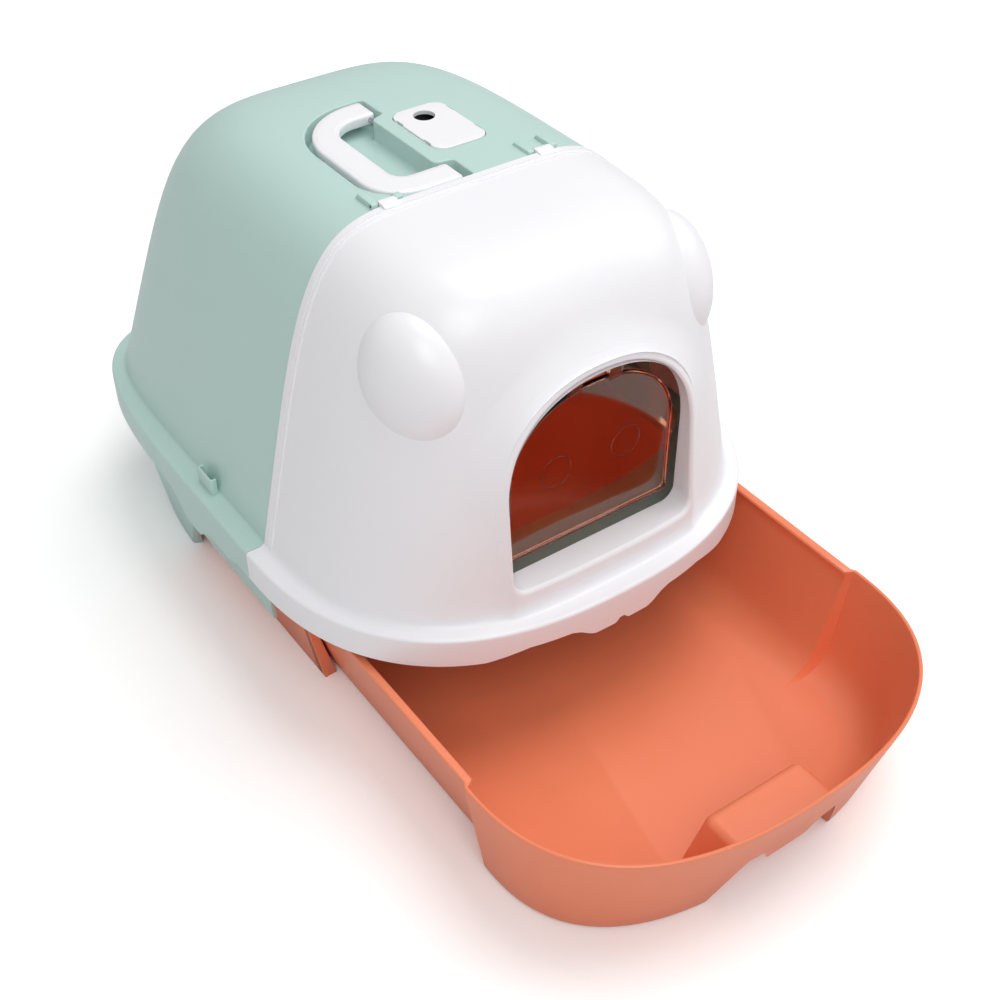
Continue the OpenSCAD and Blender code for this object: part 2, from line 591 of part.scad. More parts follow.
// Sizes at the rim and at the floor: k is 1 at the rim and 0 on the floor
function bow_pt(a, k, o) = let (p = squircle(a, mix(2.6, 2.47, k)))
    [(mix(drawer_hw - 17, drawer_hw, k) - o) * p[0], jog_y - (mix(bow_d - 30, bow_d, k) - o) * p[1]];
function mid_hw(k) = mix(drawer_hw - 32, drawer_hw - 2.5, k);
function back_y(k) = d_back - mix(17, 0, k);
function corner_r(k) = mix(48, 60, k);
bow_angles = [90, 84, 78, 72, 66, 60, 54, 48, 42, 36, 30, 24, 18, 12, 7, 3, 0];
back_angles = [0, 15, 30, 45, 60, 75, 90];
// Half of the outline at height k, drawn in by o, from the front centre to the back centre
function drawer_half(k, o, lip) = concat([for (a = bow_angles) bow_pt(a, k, o)],
    [[mid_hw(k) - o - lip, jog_y + 3]],
    [for (a = back_angles) let (r = corner_r(k) - o - lip)
        [mid_hw(k) - corner_r(k) + r * cos(a), back_y(k) - corner_r(k) + r * sin(a)]]);
function drawer_ring(k, z, o, lip) = let (h = drawer_half(k, o, lip), n = len(h))
    concat([for (p = h) [p[0], p[1], z]], [[0, back_y(k) - o - lip, z]],
           [for (i = [n - 1 : -1 : 1]) [-h[i][0], h[i][1], z]]);
module pan() {
    k_of = function (z) z / drawer_h;
    w = drawer_wall;
    rings = [drawer_ring(0, 0, 0, 0), drawer_ring(1, drawer_h, 0, 0), drawer_ring(1, drawer_h, w, 4),
             drawer_ring(k_of(drawer_h - 8), drawer_h - 8, w, 0), drawer_ring(k_of(34), 34, w, 0),
             drawer_ring(k_of(16), 16, w + 3, 0), drawer_ring(k_of(8), 8, w + 10, 0), drawer_ring(0, floor_t, w + 20, 0)];
    nr = len(rings);
    nc = len(rings[0]);
    pts = concat([for (r = rings) each r], [[0, jog_y, 0], [0, jog_y, floor_t]]);
    under = nr * nc;
    faces = concat([for (r = [0 : nr - 2]) for (c = [0 : nc - 1])
            let (d = (c + 1) % nc, a = r * nc + c, b = r * nc + d, e = (r + 1) * nc + d, f = (r + 1) * nc + c)
            each [[a, e, b], [a, f, e]]],
        [for (c = [0 : nc - 1]) let (d = (c + 1) % nc) [under, c, d]],
        [for (c = [0 : nc - 1]) let (d = (c + 1) % nc, r = (nr - 1) * nc) [under + 1, r + d, r + c]]);
    polyhedron(pts, faces, convexity = 8);
}
pull_y = d_front + 44;                          // back of the finger pull at its top
module pull_block(o, low) {
    hull() {
        for (s = [-1, 1]) {
            translate([s * (pull_hw - 8), pull_y + 8, pull_h - 7]) sphere(r = 7 - o, $fn = 16);
            translate([s * (pull_hw - 8), pull_y - 24, pull_h - 7]) sphere(r = 7 - o, $fn = 16);
            translate([s * (pull_hw + 11), pull_y + 15, low]) cylinder(r = 7 - o, h = 1, $fn = 16);
            translate([s * (pull_hw + 11), pull_y - 10, low]) cylinder(r = 7 - o, h = 1, $fn = 16);
        }
    }
}
module drawer() {
    cut_z = 38;
    color(coral) difference() {
        union() {
            pan();
            intersection() {
                pull_block(0, 1);
                drawer_core();
            }
        }
        pull_block(3, -2);
        upright([[-pull_hw - 14, -1], [pull_hw + 14, -1], [pull_hw, cut_z], [-pull_hw, cut_z]], d_front - 5, pull_y);
    }
}
// The solid inside the outer faces of the drawer
module drawer_core() {
    a = drawer_ring(0, 0, 0.5, 0);
    b = drawer_ring(1, drawer_h, 0.5, 0);
    nc = len(a);
    pts = concat(a, b, [[0, jog_y, 0], [0, jog_y, drawer_h]]);
    faces = concat([for (c = [0 : nc - 1]) let (d = (c + 1) % nc) each [[c, nc + d, d], [c, nc + c, nc + d]]],
        [for (c = [0 : nc - 1]) let (d = (c + 1) % nc) [2 * nc, c, d]],
        [for (c = [0 : nc - 1]) let (d = (c + 1) % nc) [2 * nc + 1, nc + d, nc + c]]);
    polyhedron(pts, faces, convexity = 4);
}

// ---- fixed guide that the drawer slides in, whose front ends stand on the floor ----
guide_h = 95;
guide_front = seam_y - 30;
guide_side = 0.6;                               // clear gap beside the drawer at the top of the guide
guide_end = 3;                                  // clear gap behind the drawer when it is shut
drawer_shut = guide_front - jog_y - 3.5;        // how far the drawer slides in
rail_out = 9.5;
rail_t = 2.5;
function guide_in(k) = mix(drawer_hw - 21, mid_hw(guide_h / drawer_h) + guide_side, k);
function guide_back(k) = back_y(k * guide_h / drawer_h) + drawer_shut + guide_end;
// One section of the guide at one point of its path, as eight points
function guide_section(a, side) =
    let (o = [0, drawer_wall, drawer_wall, drawer_wall + rail_out, drawer_wall + rail_out, 0],
         z = [0, 0, guide_h - rail_t, guide_h - rail_t, guide_h, guide_h])
    [for (i = [0 : 5]) let (k = z[i] / guide_h, r = corner_r(k) + o[i])
        side ? [guide_in(k) + o[i], guide_front, z[i]]
             : [guide_in(k) - corner_r(k) + r * cos(a), guide_back(k) - corner_r(k) + r * sin(a), z[i]]];
module drawer_guide() {
    half = concat([guide_section(0, true)], [for (a = back_angles) guide_section(a, false)]);
    n = len(half);
    path = concat(half, [for (i = [n - 1 : -1 : 0]) [for (p = half[i]) [-p[0], p[1], p[2]]]]);
    m = len(path);
    pts = [for (r = path) each r];
    faces = concat([for (i = [0 : m - 2]) for (j = [0 : 5])
        let (j2 = (j + 1) % 6, a = 6 * i + j, b = 6 * i + 6 + j, c = 6 * i + 6 + j2, d = 6 * i + j2)
        each [[a, c, b], [a, d, c]]],
        [[0, 5, 2], [0, 2, 1], [5, 4, 3], [5, 3, 2]],
        [for (f = [[0, 5, 2], [0, 2, 1], [5, 4, 3], [5, 3, 2]]) [6 * m - 6 + f[0], 6 * m - 6 + f[2], 6 * m - 6 + f[1]]]);
    color(coral) difference() {
        union() {
            polyhedron(pts, faces, convexity = 6);
            for (s = [-1, 1]) upright([for (p = [[guide_in(0) + drawer_wall - 0.2, 0],
                [guide_in(1) + drawer_wall - 0.2, guide_h - eps], [guide_in(1) + eps, guide_h - eps],
                [mid_hw(0) + 1, 0]]) [s * p[0], p[1]]], guide_front, guide_front + drawer_wall);
        }
        for (s = [-1, 1]) translate([s * (guide_in(1) + drawer_wall + 10) - 10, guide_front - 1, guide_h - rail_t - 1])
            cube([20, 25, rail_t + 2]);
        base_frame();
        for (s = [-1, 1]) translate([s > 0 ? guide_in(1) - 0.6 : -guide_in(1) - 19.4, seam_y + rear_len - 140, guide_h - rail_t - 0.1])
            cube([20, 68, rail_t + 1]);
    }
}

base_frame();
drawer_guide();
rear_hood();
front_hood();
drawer();
entry_flap();
flap_rod();
carry_handle();
handle_pins();
hinge_pins();
deodoriser_lid();
deodoriser_basket();
charcoal_pack();
side_clip(-1);  // side_clip_left
side_clip(1);  // side_clip_right
handle_recess();
hinge_straps();
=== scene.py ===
# %% [markdown]
# # A drawer litter box, piece by piece
# The real box is moulded from polypropylene: a white front hood that lifts, a mint rear hood on a mint base, and a
# coral drawer that slides out underneath. We load the measured CAD bodies, then model each visible piece in mesh
# code so that its surfaces are smooth, give it a finish and let it ride on the CAD body it belongs to.

# %% Load the measured frame
import json
import math

import bmesh
import bpy
import numpy as np
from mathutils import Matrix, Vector

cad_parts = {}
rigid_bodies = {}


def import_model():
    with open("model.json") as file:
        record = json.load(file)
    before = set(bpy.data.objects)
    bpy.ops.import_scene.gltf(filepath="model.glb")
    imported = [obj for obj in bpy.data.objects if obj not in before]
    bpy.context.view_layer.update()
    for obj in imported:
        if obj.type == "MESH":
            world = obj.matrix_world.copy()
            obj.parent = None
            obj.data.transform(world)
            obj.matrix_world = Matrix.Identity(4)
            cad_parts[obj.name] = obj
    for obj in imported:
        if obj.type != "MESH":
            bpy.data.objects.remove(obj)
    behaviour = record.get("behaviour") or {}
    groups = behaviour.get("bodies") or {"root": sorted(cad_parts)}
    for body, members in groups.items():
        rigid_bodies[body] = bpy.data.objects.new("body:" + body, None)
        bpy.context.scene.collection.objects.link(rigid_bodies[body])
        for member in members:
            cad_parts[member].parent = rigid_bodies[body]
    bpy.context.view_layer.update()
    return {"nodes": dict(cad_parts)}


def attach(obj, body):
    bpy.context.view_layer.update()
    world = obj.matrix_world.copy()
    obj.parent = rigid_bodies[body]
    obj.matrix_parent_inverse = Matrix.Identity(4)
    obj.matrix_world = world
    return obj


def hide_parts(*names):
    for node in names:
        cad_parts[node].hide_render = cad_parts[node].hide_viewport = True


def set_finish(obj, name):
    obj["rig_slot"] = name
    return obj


for left_over in list(bpy.data.objects):
    bpy.data.objects.remove(left_over)
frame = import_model()

# %% [markdown]
# Every size below is in millimetres, because that is how a maker would note them. The seam between the two hoods
# is the natural zero of the whole design, so depths are counted from it: minus towards the entry, plus to the back.

# %% Sizes shared by several pieces
SEAM = 31.5
FLANGE_HALF, FRONT_LEN, REAR_LEN = 210.0, 199.0, 345.0
FLANGE_Z, SKIRT_Z, ROOF_Z = 138.0, 112.0, 391.4
FRONT_FLANGE_POWER, REAR_FLANGE_POWER, HOOD_WALL = 2.45, 5.2, 2.6
DRAWER_FRONT, DRAWER_LEN, DRAWER_H = SEAM - 408.0, 471.0, 105.0
print("seam at y =", SEAM, "mm, roof at z =", ROOF_Z, "mm")

# %% [markdown]
# A few small helpers make every piece. One turns points and faces into a mesh that rides on its body. Others join
# rows of points into a skin, close that skin into a solid, or round the corners of a flat outline. The last few
# cut a solid with another one and thicken a skin into a wall.

# %% Mesh helpers
def make_piece(name, points, faces, finish, body, slot, replaces=(), sharp=38.0):
    """A smooth mesh from points in millimetres; edges sharper than the angle stay crisp."""
    mesh = bpy.data.meshes.new(name)
    mesh.from_pydata((np.asarray(points, float) * 0.001).tolist(), [], [list(map(int, f)) for f in faces])
    mesh.validate()
    return dress(bpy.data.objects.new(name, mesh), finish, body, slot, replaces, sharp)


def dress(obj, finish, body, slot, replaces=(), sharp=38.0):
    if obj.name not in bpy.context.scene.collection.objects:
        bpy.context.scene.collection.objects.link(obj)
    obj.data.materials.clear()
    obj.data.materials.append(finish)
    obj.data.polygons.foreach_set("use_smooth", [True] * len(obj.data.polygons))
    obj.data.set_sharp_from_angle(angle=math.radians(sharp))
    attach(obj, body)
    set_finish(obj, slot)
    if replaces:
        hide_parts(*replaces)
    return obj


def skin(rows, closed=False):
    """Faces that join equal rows of points."""
    n, m = len(rows), len(rows[0])
    points = np.concatenate([np.asarray(r, float) for r in rows])
    r, c = np.meshgrid(np.arange(n - 1), np.arange(m if closed else m - 1), indexing="ij")
    d = (c + 1) % m
    faces = np.stack([r * m + c, r * m + d, (r + 1) * m + d, (r + 1) * m + c], -1).reshape(-1, 4)
    return points, faces


def capped(rows):
    """Rows joined into a solid, with a flat face at both ends."""
    points, faces = skin(rows, closed=True)
    m = len(rows[0])
    ends = [list(range(m))[::-1], list(range(len(points) - m, len(points)))]
    return points, [list(f) for f in faces] + ends


def outline(corners, grow=0.0, steps=10):
    """A flat outline from (x, y, radius) corners, grown outwards by some millimetres."""
    p = np.array([c[:2] for c in corners], float)
    r = [c[2] for c in corners]
    if np.sum(p[:, 0] * np.roll(p[:, 1], -1) - np.roll(p[:, 0], -1) * p[:, 1]) < 0:
        p, r = p[::-1], r[::-1]
    made = []
    for i in range(len(p)):
        a, b, c = p[i - 1], p[i], p[(i + 1) % len(p)]
        u, v = (b - a) / np.linalg.norm(b - a), (c - b) / np.linalg.norm(c - b)
        out_u, out_v = np.array([u[1], -u[0]]), np.array([v[1], -v[0]])
        turn = math.atan2(u[0] * v[1] - u[1] * v[0], u @ v)
        tip = b + grow * (out_u + out_v) / (1 + out_u @ out_v)
        side = 1 if turn > 0 else -1
        radius = max(0.02, r[i] + side * grow) if r[i] > 0 else 0.02
        start = tip - u * radius * math.tan(abs(turn) / 2)
        centre = start - side * radius * out_u
        for k in range(steps + 1):
            t = turn * k / steps
            w = start - centre
            made.append(centre + [w[0] * math.cos(t) - w[1] * math.sin(t), w[0] * math.sin(t) + w[1] * math.cos(t)])
    return np.array(made)


def flat_rings(shape, profile, y0=SEAM):
    """Rows of points that follow an outline: each profile entry is (grow, z) and z may be a function of x and y."""
    rows = []
    for grow, z in profile:
        o = shape(grow)
        height = z(o[:, 0], o[:, 1]) if callable(z) else np.full(len(o), float(z))
        rows.append(np.column_stack([o[:, 0], o[:, 1] + y0, height]))
    return rows


def round_over(z, radius, steps=5):
    """Profile points of a rounded top edge, from the vertical face to the flat top."""
    t = np.linspace(0, math.pi / 2, steps + 1)
    return [(-radius * (1 - math.cos(a)), z - radius * (1 - math.sin(a))) for a in t]


def slab(shape, low, high, edge, y0=SEAM):
    """A closed plate with rounded edges, as points and faces."""
    top_edge = round_over(high, edge)
    bottom_edge = [(g, low + high - z) for g, z in top_edge][::-1]
    return capped(flat_rings(shape, bottom_edge + top_edge, y0))


def stand_up(points, side="x"):
    """Stands up a plate that was drawn flat, so that it faces along x or along y."""
    u, v, thickness = np.asarray(points, float).T
    return np.column_stack([thickness, u, v] if side == "x" else [u, -thickness, v])


def join(*parts):
    points, faces, n = [], [], 0
    for p, f in parts:
        points.append(np.asarray(p, float))
        faces += [[int(i) + n for i in face] for face in f]
        n += len(p)
    return np.concatenate(points), faces


def cut(obj, *cutters, how="DIFFERENCE"):
    """Cuts other solids out of a piece for good, and removes the cutters."""
    for c in cutters:
        mod = obj.modifiers.new("cut", "BOOLEAN")
        mod.operation, mod.solver, mod.object = how, "EXACT", c
        bake(obj)
        bpy.data.objects.remove(c)
    return obj


def bake(obj):
    bpy.context.view_layer.update()
    mesh = bpy.data.meshes.new_from_object(obj.evaluated_get(bpy.context.evaluated_depsgraph_get()))
    obj.modifiers.clear()
    obj.data = mesh
    return obj


def loose(points, faces, name="cutter"):
    """A bare solid that only serves as a cutter or as raw stock."""
    mesh = bpy.data.meshes.new(name)
    mesh.from_pydata((np.asarray(points, float) * 0.001).tolist(), [], [list(map(int, f)) for f in faces])
    obj = bpy.data.objects.new(name, mesh)
    bpy.context.scene.collection.objects.link(obj)
    return obj


def thicken(obj, wall):
    mod = obj.modifiers.new("wall", "SOLIDIFY")
    mod.thickness, mod.offset, mod.use_even_offset = wall * 0.001, -1.0, False
    return bake(obj)


print("helpers ready")

# %% [markdown]
# Colours come as the hex value a paint chart would give, and go through one function to the linear numbers that
# Cycles works with. One more function adds a shader node with its settings and its links.

# %% Colour and node helpers
def linear(hex_colour, alpha=1.0):
    value = [int(hex_colour[i:i + 2], 16) / 255 for i in (1, 3, 5)]
    return tuple(c / 12.92 if c <= 0.04045 else ((c + 0.055) / 1.055) ** 2.4 for c in value) + (alpha,)


def add_node(tree, kind, links=None, **settings):
    node = tree.nodes.new(kind)
    for key, value in settings.items():
        if key in node.inputs:
            node.inputs[key].default_value = value
        else:
            setattr(node, key, value)
    for key, source in (links or {}).items():
        tree.links.new(source, node.inputs[key])
    return node


print("mint as linear light:", [round(c, 3) for c in linear("#c1dcd6")[:3]])

# %% [markdown]
# The box is injection-moulded polypropylene. Against a polished tool it takes a satin gloss: highlights are wide
# and soft, and a very faint waviness from shrinkage breaks them up. The pigment is even, so colour varies by only
# a percent or two. The waves are 40 mm long and the fine orange peel 1.5 mm, drawn a little coarser than real.

# %% Moulded plastic
def moulded(name, light, dark, roughness, peel=0.012):
    finish = bpy.data.materials.new(name)
    finish.use_nodes = True
    tree = finish.node_tree
    tree.nodes.clear()
    place = add_node(tree, "ShaderNodeTexCoord").outputs["Object"]
    cloud = add_node(tree, "ShaderNodeTexNoise", {"Vector": place}, Scale=9.0, Detail=3.0)
    tint = add_node(tree, "ShaderNodeMix", {"Factor": cloud.outputs["Fac"]}, data_type="RGBA")
    tint.inputs[6].default_value, tint.inputs[7].default_value = linear(light), linear(dark)
    wave = add_node(tree, "ShaderNodeTexNoise", {"Vector": place}, Scale=25.0, Detail=1.0)
    skin_peel = add_node(tree, "ShaderNodeTexNoise", {"Vector": place}, Scale=650.0, Detail=2.0)
    shrink = add_node(tree, "ShaderNodeBump", {"Height": wave.outputs["Fac"]}, Strength=0.02, Distance=0.01)
    peel_bump = add_node(tree, "ShaderNodeBump",
                         {"Height": skin_peel.outputs["Fac"], "Normal": shrink.outputs["Normal"]},
                         Strength=peel, Distance=0.001)
    plastic = add_node(tree, "ShaderNodeBsdfPrincipled",
                       {"Base Color": tint.outputs[2], "Normal": peel_bump.outputs["Normal"]},
                       Roughness=roughness, IOR=1.49, Metallic=0.0)
    add_node(tree, "ShaderNodeOutputMaterial", {"Surface": plastic.outputs["BSDF"]})
    return finish


mint_plastic = moulded("mint_polypropylene", "#c1dcd6", "#bcd8d1", 0.36)
white_plastic = moulded("white_polypropylene", "#f6f5f8", "#f3f2f6", 0.3)
coral_plastic = moulded("coral_polypropylene", "#f68d66", "#f28761", 0.34)
dark_plastic = moulded("dark_grille_plastic", "#35383a", "#2e3133", 0.5)
print("plastics:", mint_plastic.name, white_plastic.name, coral_plastic.name)

# %% [markdown]
# The flap is clear polystyrene tinted amber. It is moulded with polished faces, so it reflects sharply at its
# edges and tints everything behind it. The tint lives in the transmitted colour.

# %% Clear amber plastic, steel and felt
def simple(name, colour, **settings):
    finish = bpy.data.materials.new(name)
    finish.use_nodes = True
    tree = finish.node_tree
    tree.nodes.clear()
    place = add_node(tree, "ShaderNodeTexCoord").outputs["Object"]
    grain = add_node(tree, "ShaderNodeTexNoise", {"Vector": place}, Scale=settings.pop("grain", 60.0), Detail=4.0)
    bump = add_node(tree, "ShaderNodeBump", {"Height": grain.outputs["Fac"]},
                    Strength=settings.pop("relief", 0.05), Distance=0.001)
    body = add_node(tree, "ShaderNodeBsdfPrincipled", {"Normal": bump.outputs["Normal"]}, **settings)
    body.inputs["Base Color"].default_value = linear(colour)
    add_node(tree, "ShaderNodeOutputMaterial", {"Surface": body.outputs["BSDF"]})
    return finish


amber_clear = simple("amber_clear_polystyrene", "#f4aa85", Roughness=0.04, IOR=1.59, grain=12.0, relief=0.01)
amber_clear.node_tree.nodes["Principled BSDF"].inputs["Transmission Weight"].default_value = 1.0
drawn_steel = simple("drawn_steel_wire", "#b9bcc0", Roughness=0.28, Metallic=1.0, IOR=2.5, grain=400.0)
charcoal_felt = simple("charcoal_felt", "#2b2a29", Roughness=0.95, IOR=1.45, grain=700.0, relief=0.6)
print("clear and metal finishes ready")

# %% [markdown]
# Both hoods are one family of rounded boxes: at every height the plan is a superellipse, its half width and depth
# shrink slowly up the wall and then roll over quickly into a nearly flat roof. These few functions are the design.
# Each roll is a height where the turn begins and a power: a higher power makes a tighter shoulder.

# %% The shape of the hoods
SIDE_ROLL, FRONT_ROLL, REAR_ROLL = (114.8, 6.26), (193.0, 5.8), (198.0, 6.1)


def roll(z, start, power):
    return np.maximum(0, 1 - np.clip((z - start) / (ROOF_Z - start), 0, 1) ** power) ** (1 / power)


def half_width(z):
    return (193.5 - 0.229 * (z - FLANGE_Z)) * roll(z, *SIDE_ROLL)


def front_depth(z):
    return (181.0 - 0.148 * (z - FLANGE_Z)) * roll(z, *FRONT_ROLL)


def rear_depth(z):
    return (321.5 - 0.191 * (z - FLANGE_Z)) * roll(z, *REAR_ROLL)


def front_power(z):
    return 2.74 + 0.63 * np.clip((z - FLANGE_Z) / 230, 0, 1)


def rear_power(z):
    return 7.1 - 2.9 * np.clip((z - FLANGE_Z) / 230, 0, 1)


def around(angle, power):
    """A point on a superellipse of half width 1, with the angle in radians."""
    c, s = np.cos(angle), np.sin(angle)
    r = (np.abs(c) ** power + np.abs(s) ** power) ** (1 / power)
    return c / r, np.abs(s) / r


def fullness(x, y, z):
    """Below 1 inside the hoods; y counts from the seam."""
    w = half_width(z)
    depth = np.where(y < 0, front_depth(z), rear_depth(z))
    n = np.where(y < 0, front_power(z), rear_power(z))
    return (np.abs(x) / np.maximum(w, 1e-3)) ** n + (np.abs(y) / np.maximum(depth, 1e-3)) ** n


def roof_at(x, y):
    """Height of the roof over a place in plan."""
    low, high = np.full(np.shape(x), 200.0), np.full(np.shape(x), ROOF_Z)
    for _ in range(40):
        mid = (low + high) / 2
        inside = fullness(x, y, mid) < 1
        low, high = np.where(inside, mid, low), np.where(inside, high, mid)
    return low


def wall_heights(low, wall_rows, roof_rows, shoulder=330.0):
    """Heights of the rows: even up the wall, then crowded where the shoulder turns into the roof."""
    start, power = SIDE_ROLL
    f = roll(shoulder, start, power) * (1 - np.linspace(0, 1, roof_rows + 1)[1:] ** 1.15)
    turn = start + (ROOF_Z - start) * (1 - f ** power) ** (1 / power)
    return np.concatenate([np.linspace(low, shoulder, wall_rows), turn])


print("roof over the handle at x = -60 is", round(float(roof_at(np.array(-60.0), np.array(70.0))), 2), "mm")

# %% [markdown]
# A hood grows upwards row by row: a hanging skirt, a rounded flange, a small fillet, the wall and the roof. The
# same function makes the front and the rear hood, with a skirt edge that each of them shapes for itself.

# %% Rows of a hood
FLANGE_ROWS, FILLET_ROWS = 13, 6


def hood_rows(front, columns, wall_rows, roof_rows, skirt_edge):
    sign = -1 if front else 1
    depth_at, power_at = (front_depth, front_power) if front else (rear_depth, rear_power)
    length, flange_power = (FRONT_LEN, FRONT_FLANGE_POWER) if front else (REAR_LEN, REAR_FLANGE_POWER)
    angle = np.linspace(0, math.pi, columns)
    edge, inset, fillet = 2.6, 0.3, 5.0 if front else 2.6
    rows = []

    def flange(grow, z):
        c, s = around(angle, flange_power)
        x, y = (FLANGE_HALF + grow) * c, sign * (inset + (length - inset + grow) * s)
        rows.append(np.column_stack([x, y, z(x, y) if callable(z) else np.full(columns, z)]))

    def wall(grow, z):
        c, s = around(angle, power_at(np.array(z)))
        x, y = (half_width(z) + grow) * c, sign * (inset + max(0.0, depth_at(z) - inset + grow) * s)
        rows.append(np.column_stack([x, y, np.full(columns, z)]))

    flange(0, skirt_edge)
    for z in (116, 120, 125, 130):
        flange(0, lambda x, y, z=z: np.maximum(z, skirt_edge(x, y) + 0.6))
    for a in np.linspace(0, math.pi / 2, 7):
        flange(-edge * (1 - math.cos(a)), FLANGE_Z - edge * (1 - math.sin(a)))
    flange(-edge - 1.5, FLANGE_Z)
    for a in np.linspace(0, math.pi / 2, FILLET_ROWS + 1)[:-1]:
        wall(fillet * (1 - math.sin(a)), FLANGE_Z + fillet * (1 - math.cos(a)))
    for z in wall_heights(FLANGE_Z + fillet, wall_rows, roof_rows):
        wall(0, float(z))
    return rows


print("a hood has", len(hood_rows(False, 9, 20, 10, lambda x, y: np.full(9, SKIRT_Z))), "rows in its coarsest form")

# %% [markdown]
# The skirt of the rear hood dips in a wave below each side clip. It is a thin lip: the flange's rounded edge turns
# down into it. Two cutters then open the roof, one for the handle and one for the filter lid.

# %% Rear hood
def rear_skirt(x, y):
    return np.interp(y, [0, 20, 30, 70, 79, 88, 112, 122, 135, 150, 400],
                     [SKIRT_Z, SKIRT_Z, 106, 104.5, 100, 92.5, 92.5, 100, 109, SKIRT_Z, SKIRT_Z])


def lid_shape(grow):
    return outline([(3.95, 43.5, 11), (50.45, 43.5, 11), (50.45, 114.5, 11), (3.95, 114.5, 11)], grow)


def recess_shape(grow):
    return outline([(-72, 1.5, 38), (6, 1.5, 3), (6, 28, 3.5), (-9, 31, 5),
                    (-9, 117, 5), (3, 121, 3.5), (3, 151.5, 4), (-72, 151.5, 58)], grow)


rows = hood_rows(False, 240, 60, 34, rear_skirt)
points, faces = skin(rows)
points[:, 1] += SEAM
rear_stock = thicken(loose(points, faces, "rear_stock"), HOOD_WALL)
print("rear hood shell:", len(rear_stock.data.polygons), "faces")

for shape, grow, low in ((recess_shape, 1.4, 368), (lid_shape, 0.9, 360)):
    cut(rear_stock, loose(*capped(flat_rings(shape, [(grow, low), (grow, 400)]))))
rear_stock.name = "rear_hood_shell"
dress(rear_stock, mint_plastic, "base", "mint_plastic", ["rear_hood"])
print("rear hood after the two roof cuts:", len(rear_stock.data.polygons), "faces")

# %% [markdown]
# The tray for the handle and the seat for the filter lid hang from those cuts. Their rims lie on the roof and turn
# over with a small radius, the way a moulded edge does, and their floors meet the walls in a fillet.

# %% Handle recess and lid seat
def over_roof(lift):
    return lambda x, y: roof_at(x, np.maximum(y, 0.4)) + lift


def sunk(shape, floor, name, ledge=None, rim=2.3):
    """A tray with a rim on the roof and, as a lid seat, an open floor that is only a ledge wide."""
    profile = [(rim, over_roof(-0.5)), (rim - 0.1, over_roof(0.1)), (1.1, over_roof(0.12)), (0.55, over_roof(0.0)),
               (0.15, over_roof(-0.4)), (0.0, over_roof(-1.1))]
    profile += [(0.0, floor + 3.0), (-0.3, floor + 1.6), (-1.0, floor + 0.6), (-2.4, floor)]
    if ledge:
        profile += [(-ledge, floor), (-ledge - 0.3, floor - 0.3), (-ledge - 0.3, floor - 2.2),
                    (1.5, floor - 2.2), (1.5, 387.5)]
    rows = flat_rings(shape, profile)
    points, faces = skin(rows, closed=True)
    faces = [list(f) for f in faces]
    if not ledge:
        m = len(rows[0])
        under = [(-2.4, floor - 2.0), (1.9, floor - 2.0), (1.9, 387.0)]
        faces.append(list(range((len(rows) - 1) * m, len(rows) * m)))
        low_points, low_faces = skin(flat_rings(shape, under), closed=True)
        points, faces = join((points, faces), (low_points, [list(f) for f in low_faces] + [list(range(m))[::-1]]))
    points[:, 1] = np.maximum(points[:, 1], SEAM + 0.35)
    make_piece(name, points, faces, mint_plastic, "base", "mint_plastic", ["handle_recess"] if not ledge else (), 40)


TRAY_FLOOR, SEAT_FLOOR = 374.4, 385.4
sunk(recess_shape, TRAY_FLOOR, "handle_tray")
sunk(lambda g: lid_shape(g + 0.5), SEAT_FLOOR, "lid_seat", ledge=4.4)
print("tray floor is", round(ROOF_Z - TRAY_FLOOR, 1), "mm below the roof")

# %% [markdown]
# Two lugs carry each hinge. They are blunt tabs with a softened edge. On the real hood the outer ones look taller,
# because the roof falls away there; ours stay inside the measured box. The inner lug of the left hinge is cut
# back, so that the handle can swing up past it.

# %% Hinge lugs
def tab(profile_yz, x0, x1, edge=0.8):
    """A plate that stands in the side view, from x0 to x1."""
    points, faces = slab(lambda g: outline(profile_yz, g, 4), x0, x1, edge, 0.0)
    points = stand_up(points)
    points[:, 1] += SEAM
    return points, faces


LUG_TOP, LUG_WIDE = 393.9, 5.5


def lug_profile(back, low=383.0):
    return [(0.6, low, 0), (0.6, LUG_TOP, 1.6), (back - 3.4, LUG_TOP, 3), (back, 390.0, 1), (back, low, 0)]


lug_places = ((-80.3, 23.5), (-59.8, 10.6), (54.3, 23.5), (74.8, 23.5))
lug_parts = [tab(lug_profile(back), x, x + LUG_WIDE) for x, back in lug_places]
make_piece("hinge_lugs", *join(*lug_parts), mint_plastic, "base", "mint_plastic", (), 40)
print("lug top is", round(LUG_TOP - ROOF_Z, 1), "mm over the roof")

# %% [markdown]
# The front hood starts from the same rows. Its skirt hangs a little lower in the middle, with a small notch. The
# muzzle swells out of the wall round the entry. We take the larger of two depths, wall and muzzle, with a smooth
# maximum, so that a soft hollow joins them the way a fillet does.

# %% Front hood wall
ENTRY_HALF, SILL, ENTRY_TOP, ENTRY_CORNER, ARCH_POWER = 82.0, 159.0, 316.0, 12.0, 2.2
SPRING = SILL + 0.48 * (ENTRY_TOP - SILL)
CREST, MUZZLE_BLEND = 6.0, 13.0


def front_skirt(x, y):
    return np.interp(np.abs(x), [0, 2.5, 5, 7, 25, 30, 38, 46, 80, 112, 300],
                     [111.5, 111, 108, 107.3, 107.3, 109.5, 115, 118, 118.5, SKIRT_Z, SKIRT_Z])


def arch_distance(x, z, half, top, spring):
    """Signed distance, roughly, to an arch that is open below: minus inside."""
    up = np.maximum(0, z - spring) / (top - spring)
    across = np.abs(x) / half
    n = ARCH_POWER
    r = (across ** n + up ** n) ** (1 / n)
    slope = np.hypot(across ** (n - 1) / half, up ** (n - 1) / (top - spring)) / np.maximum(r, 1e-6) ** (n - 1)
    return (r - 1) / np.maximum(slope, 1e-6)


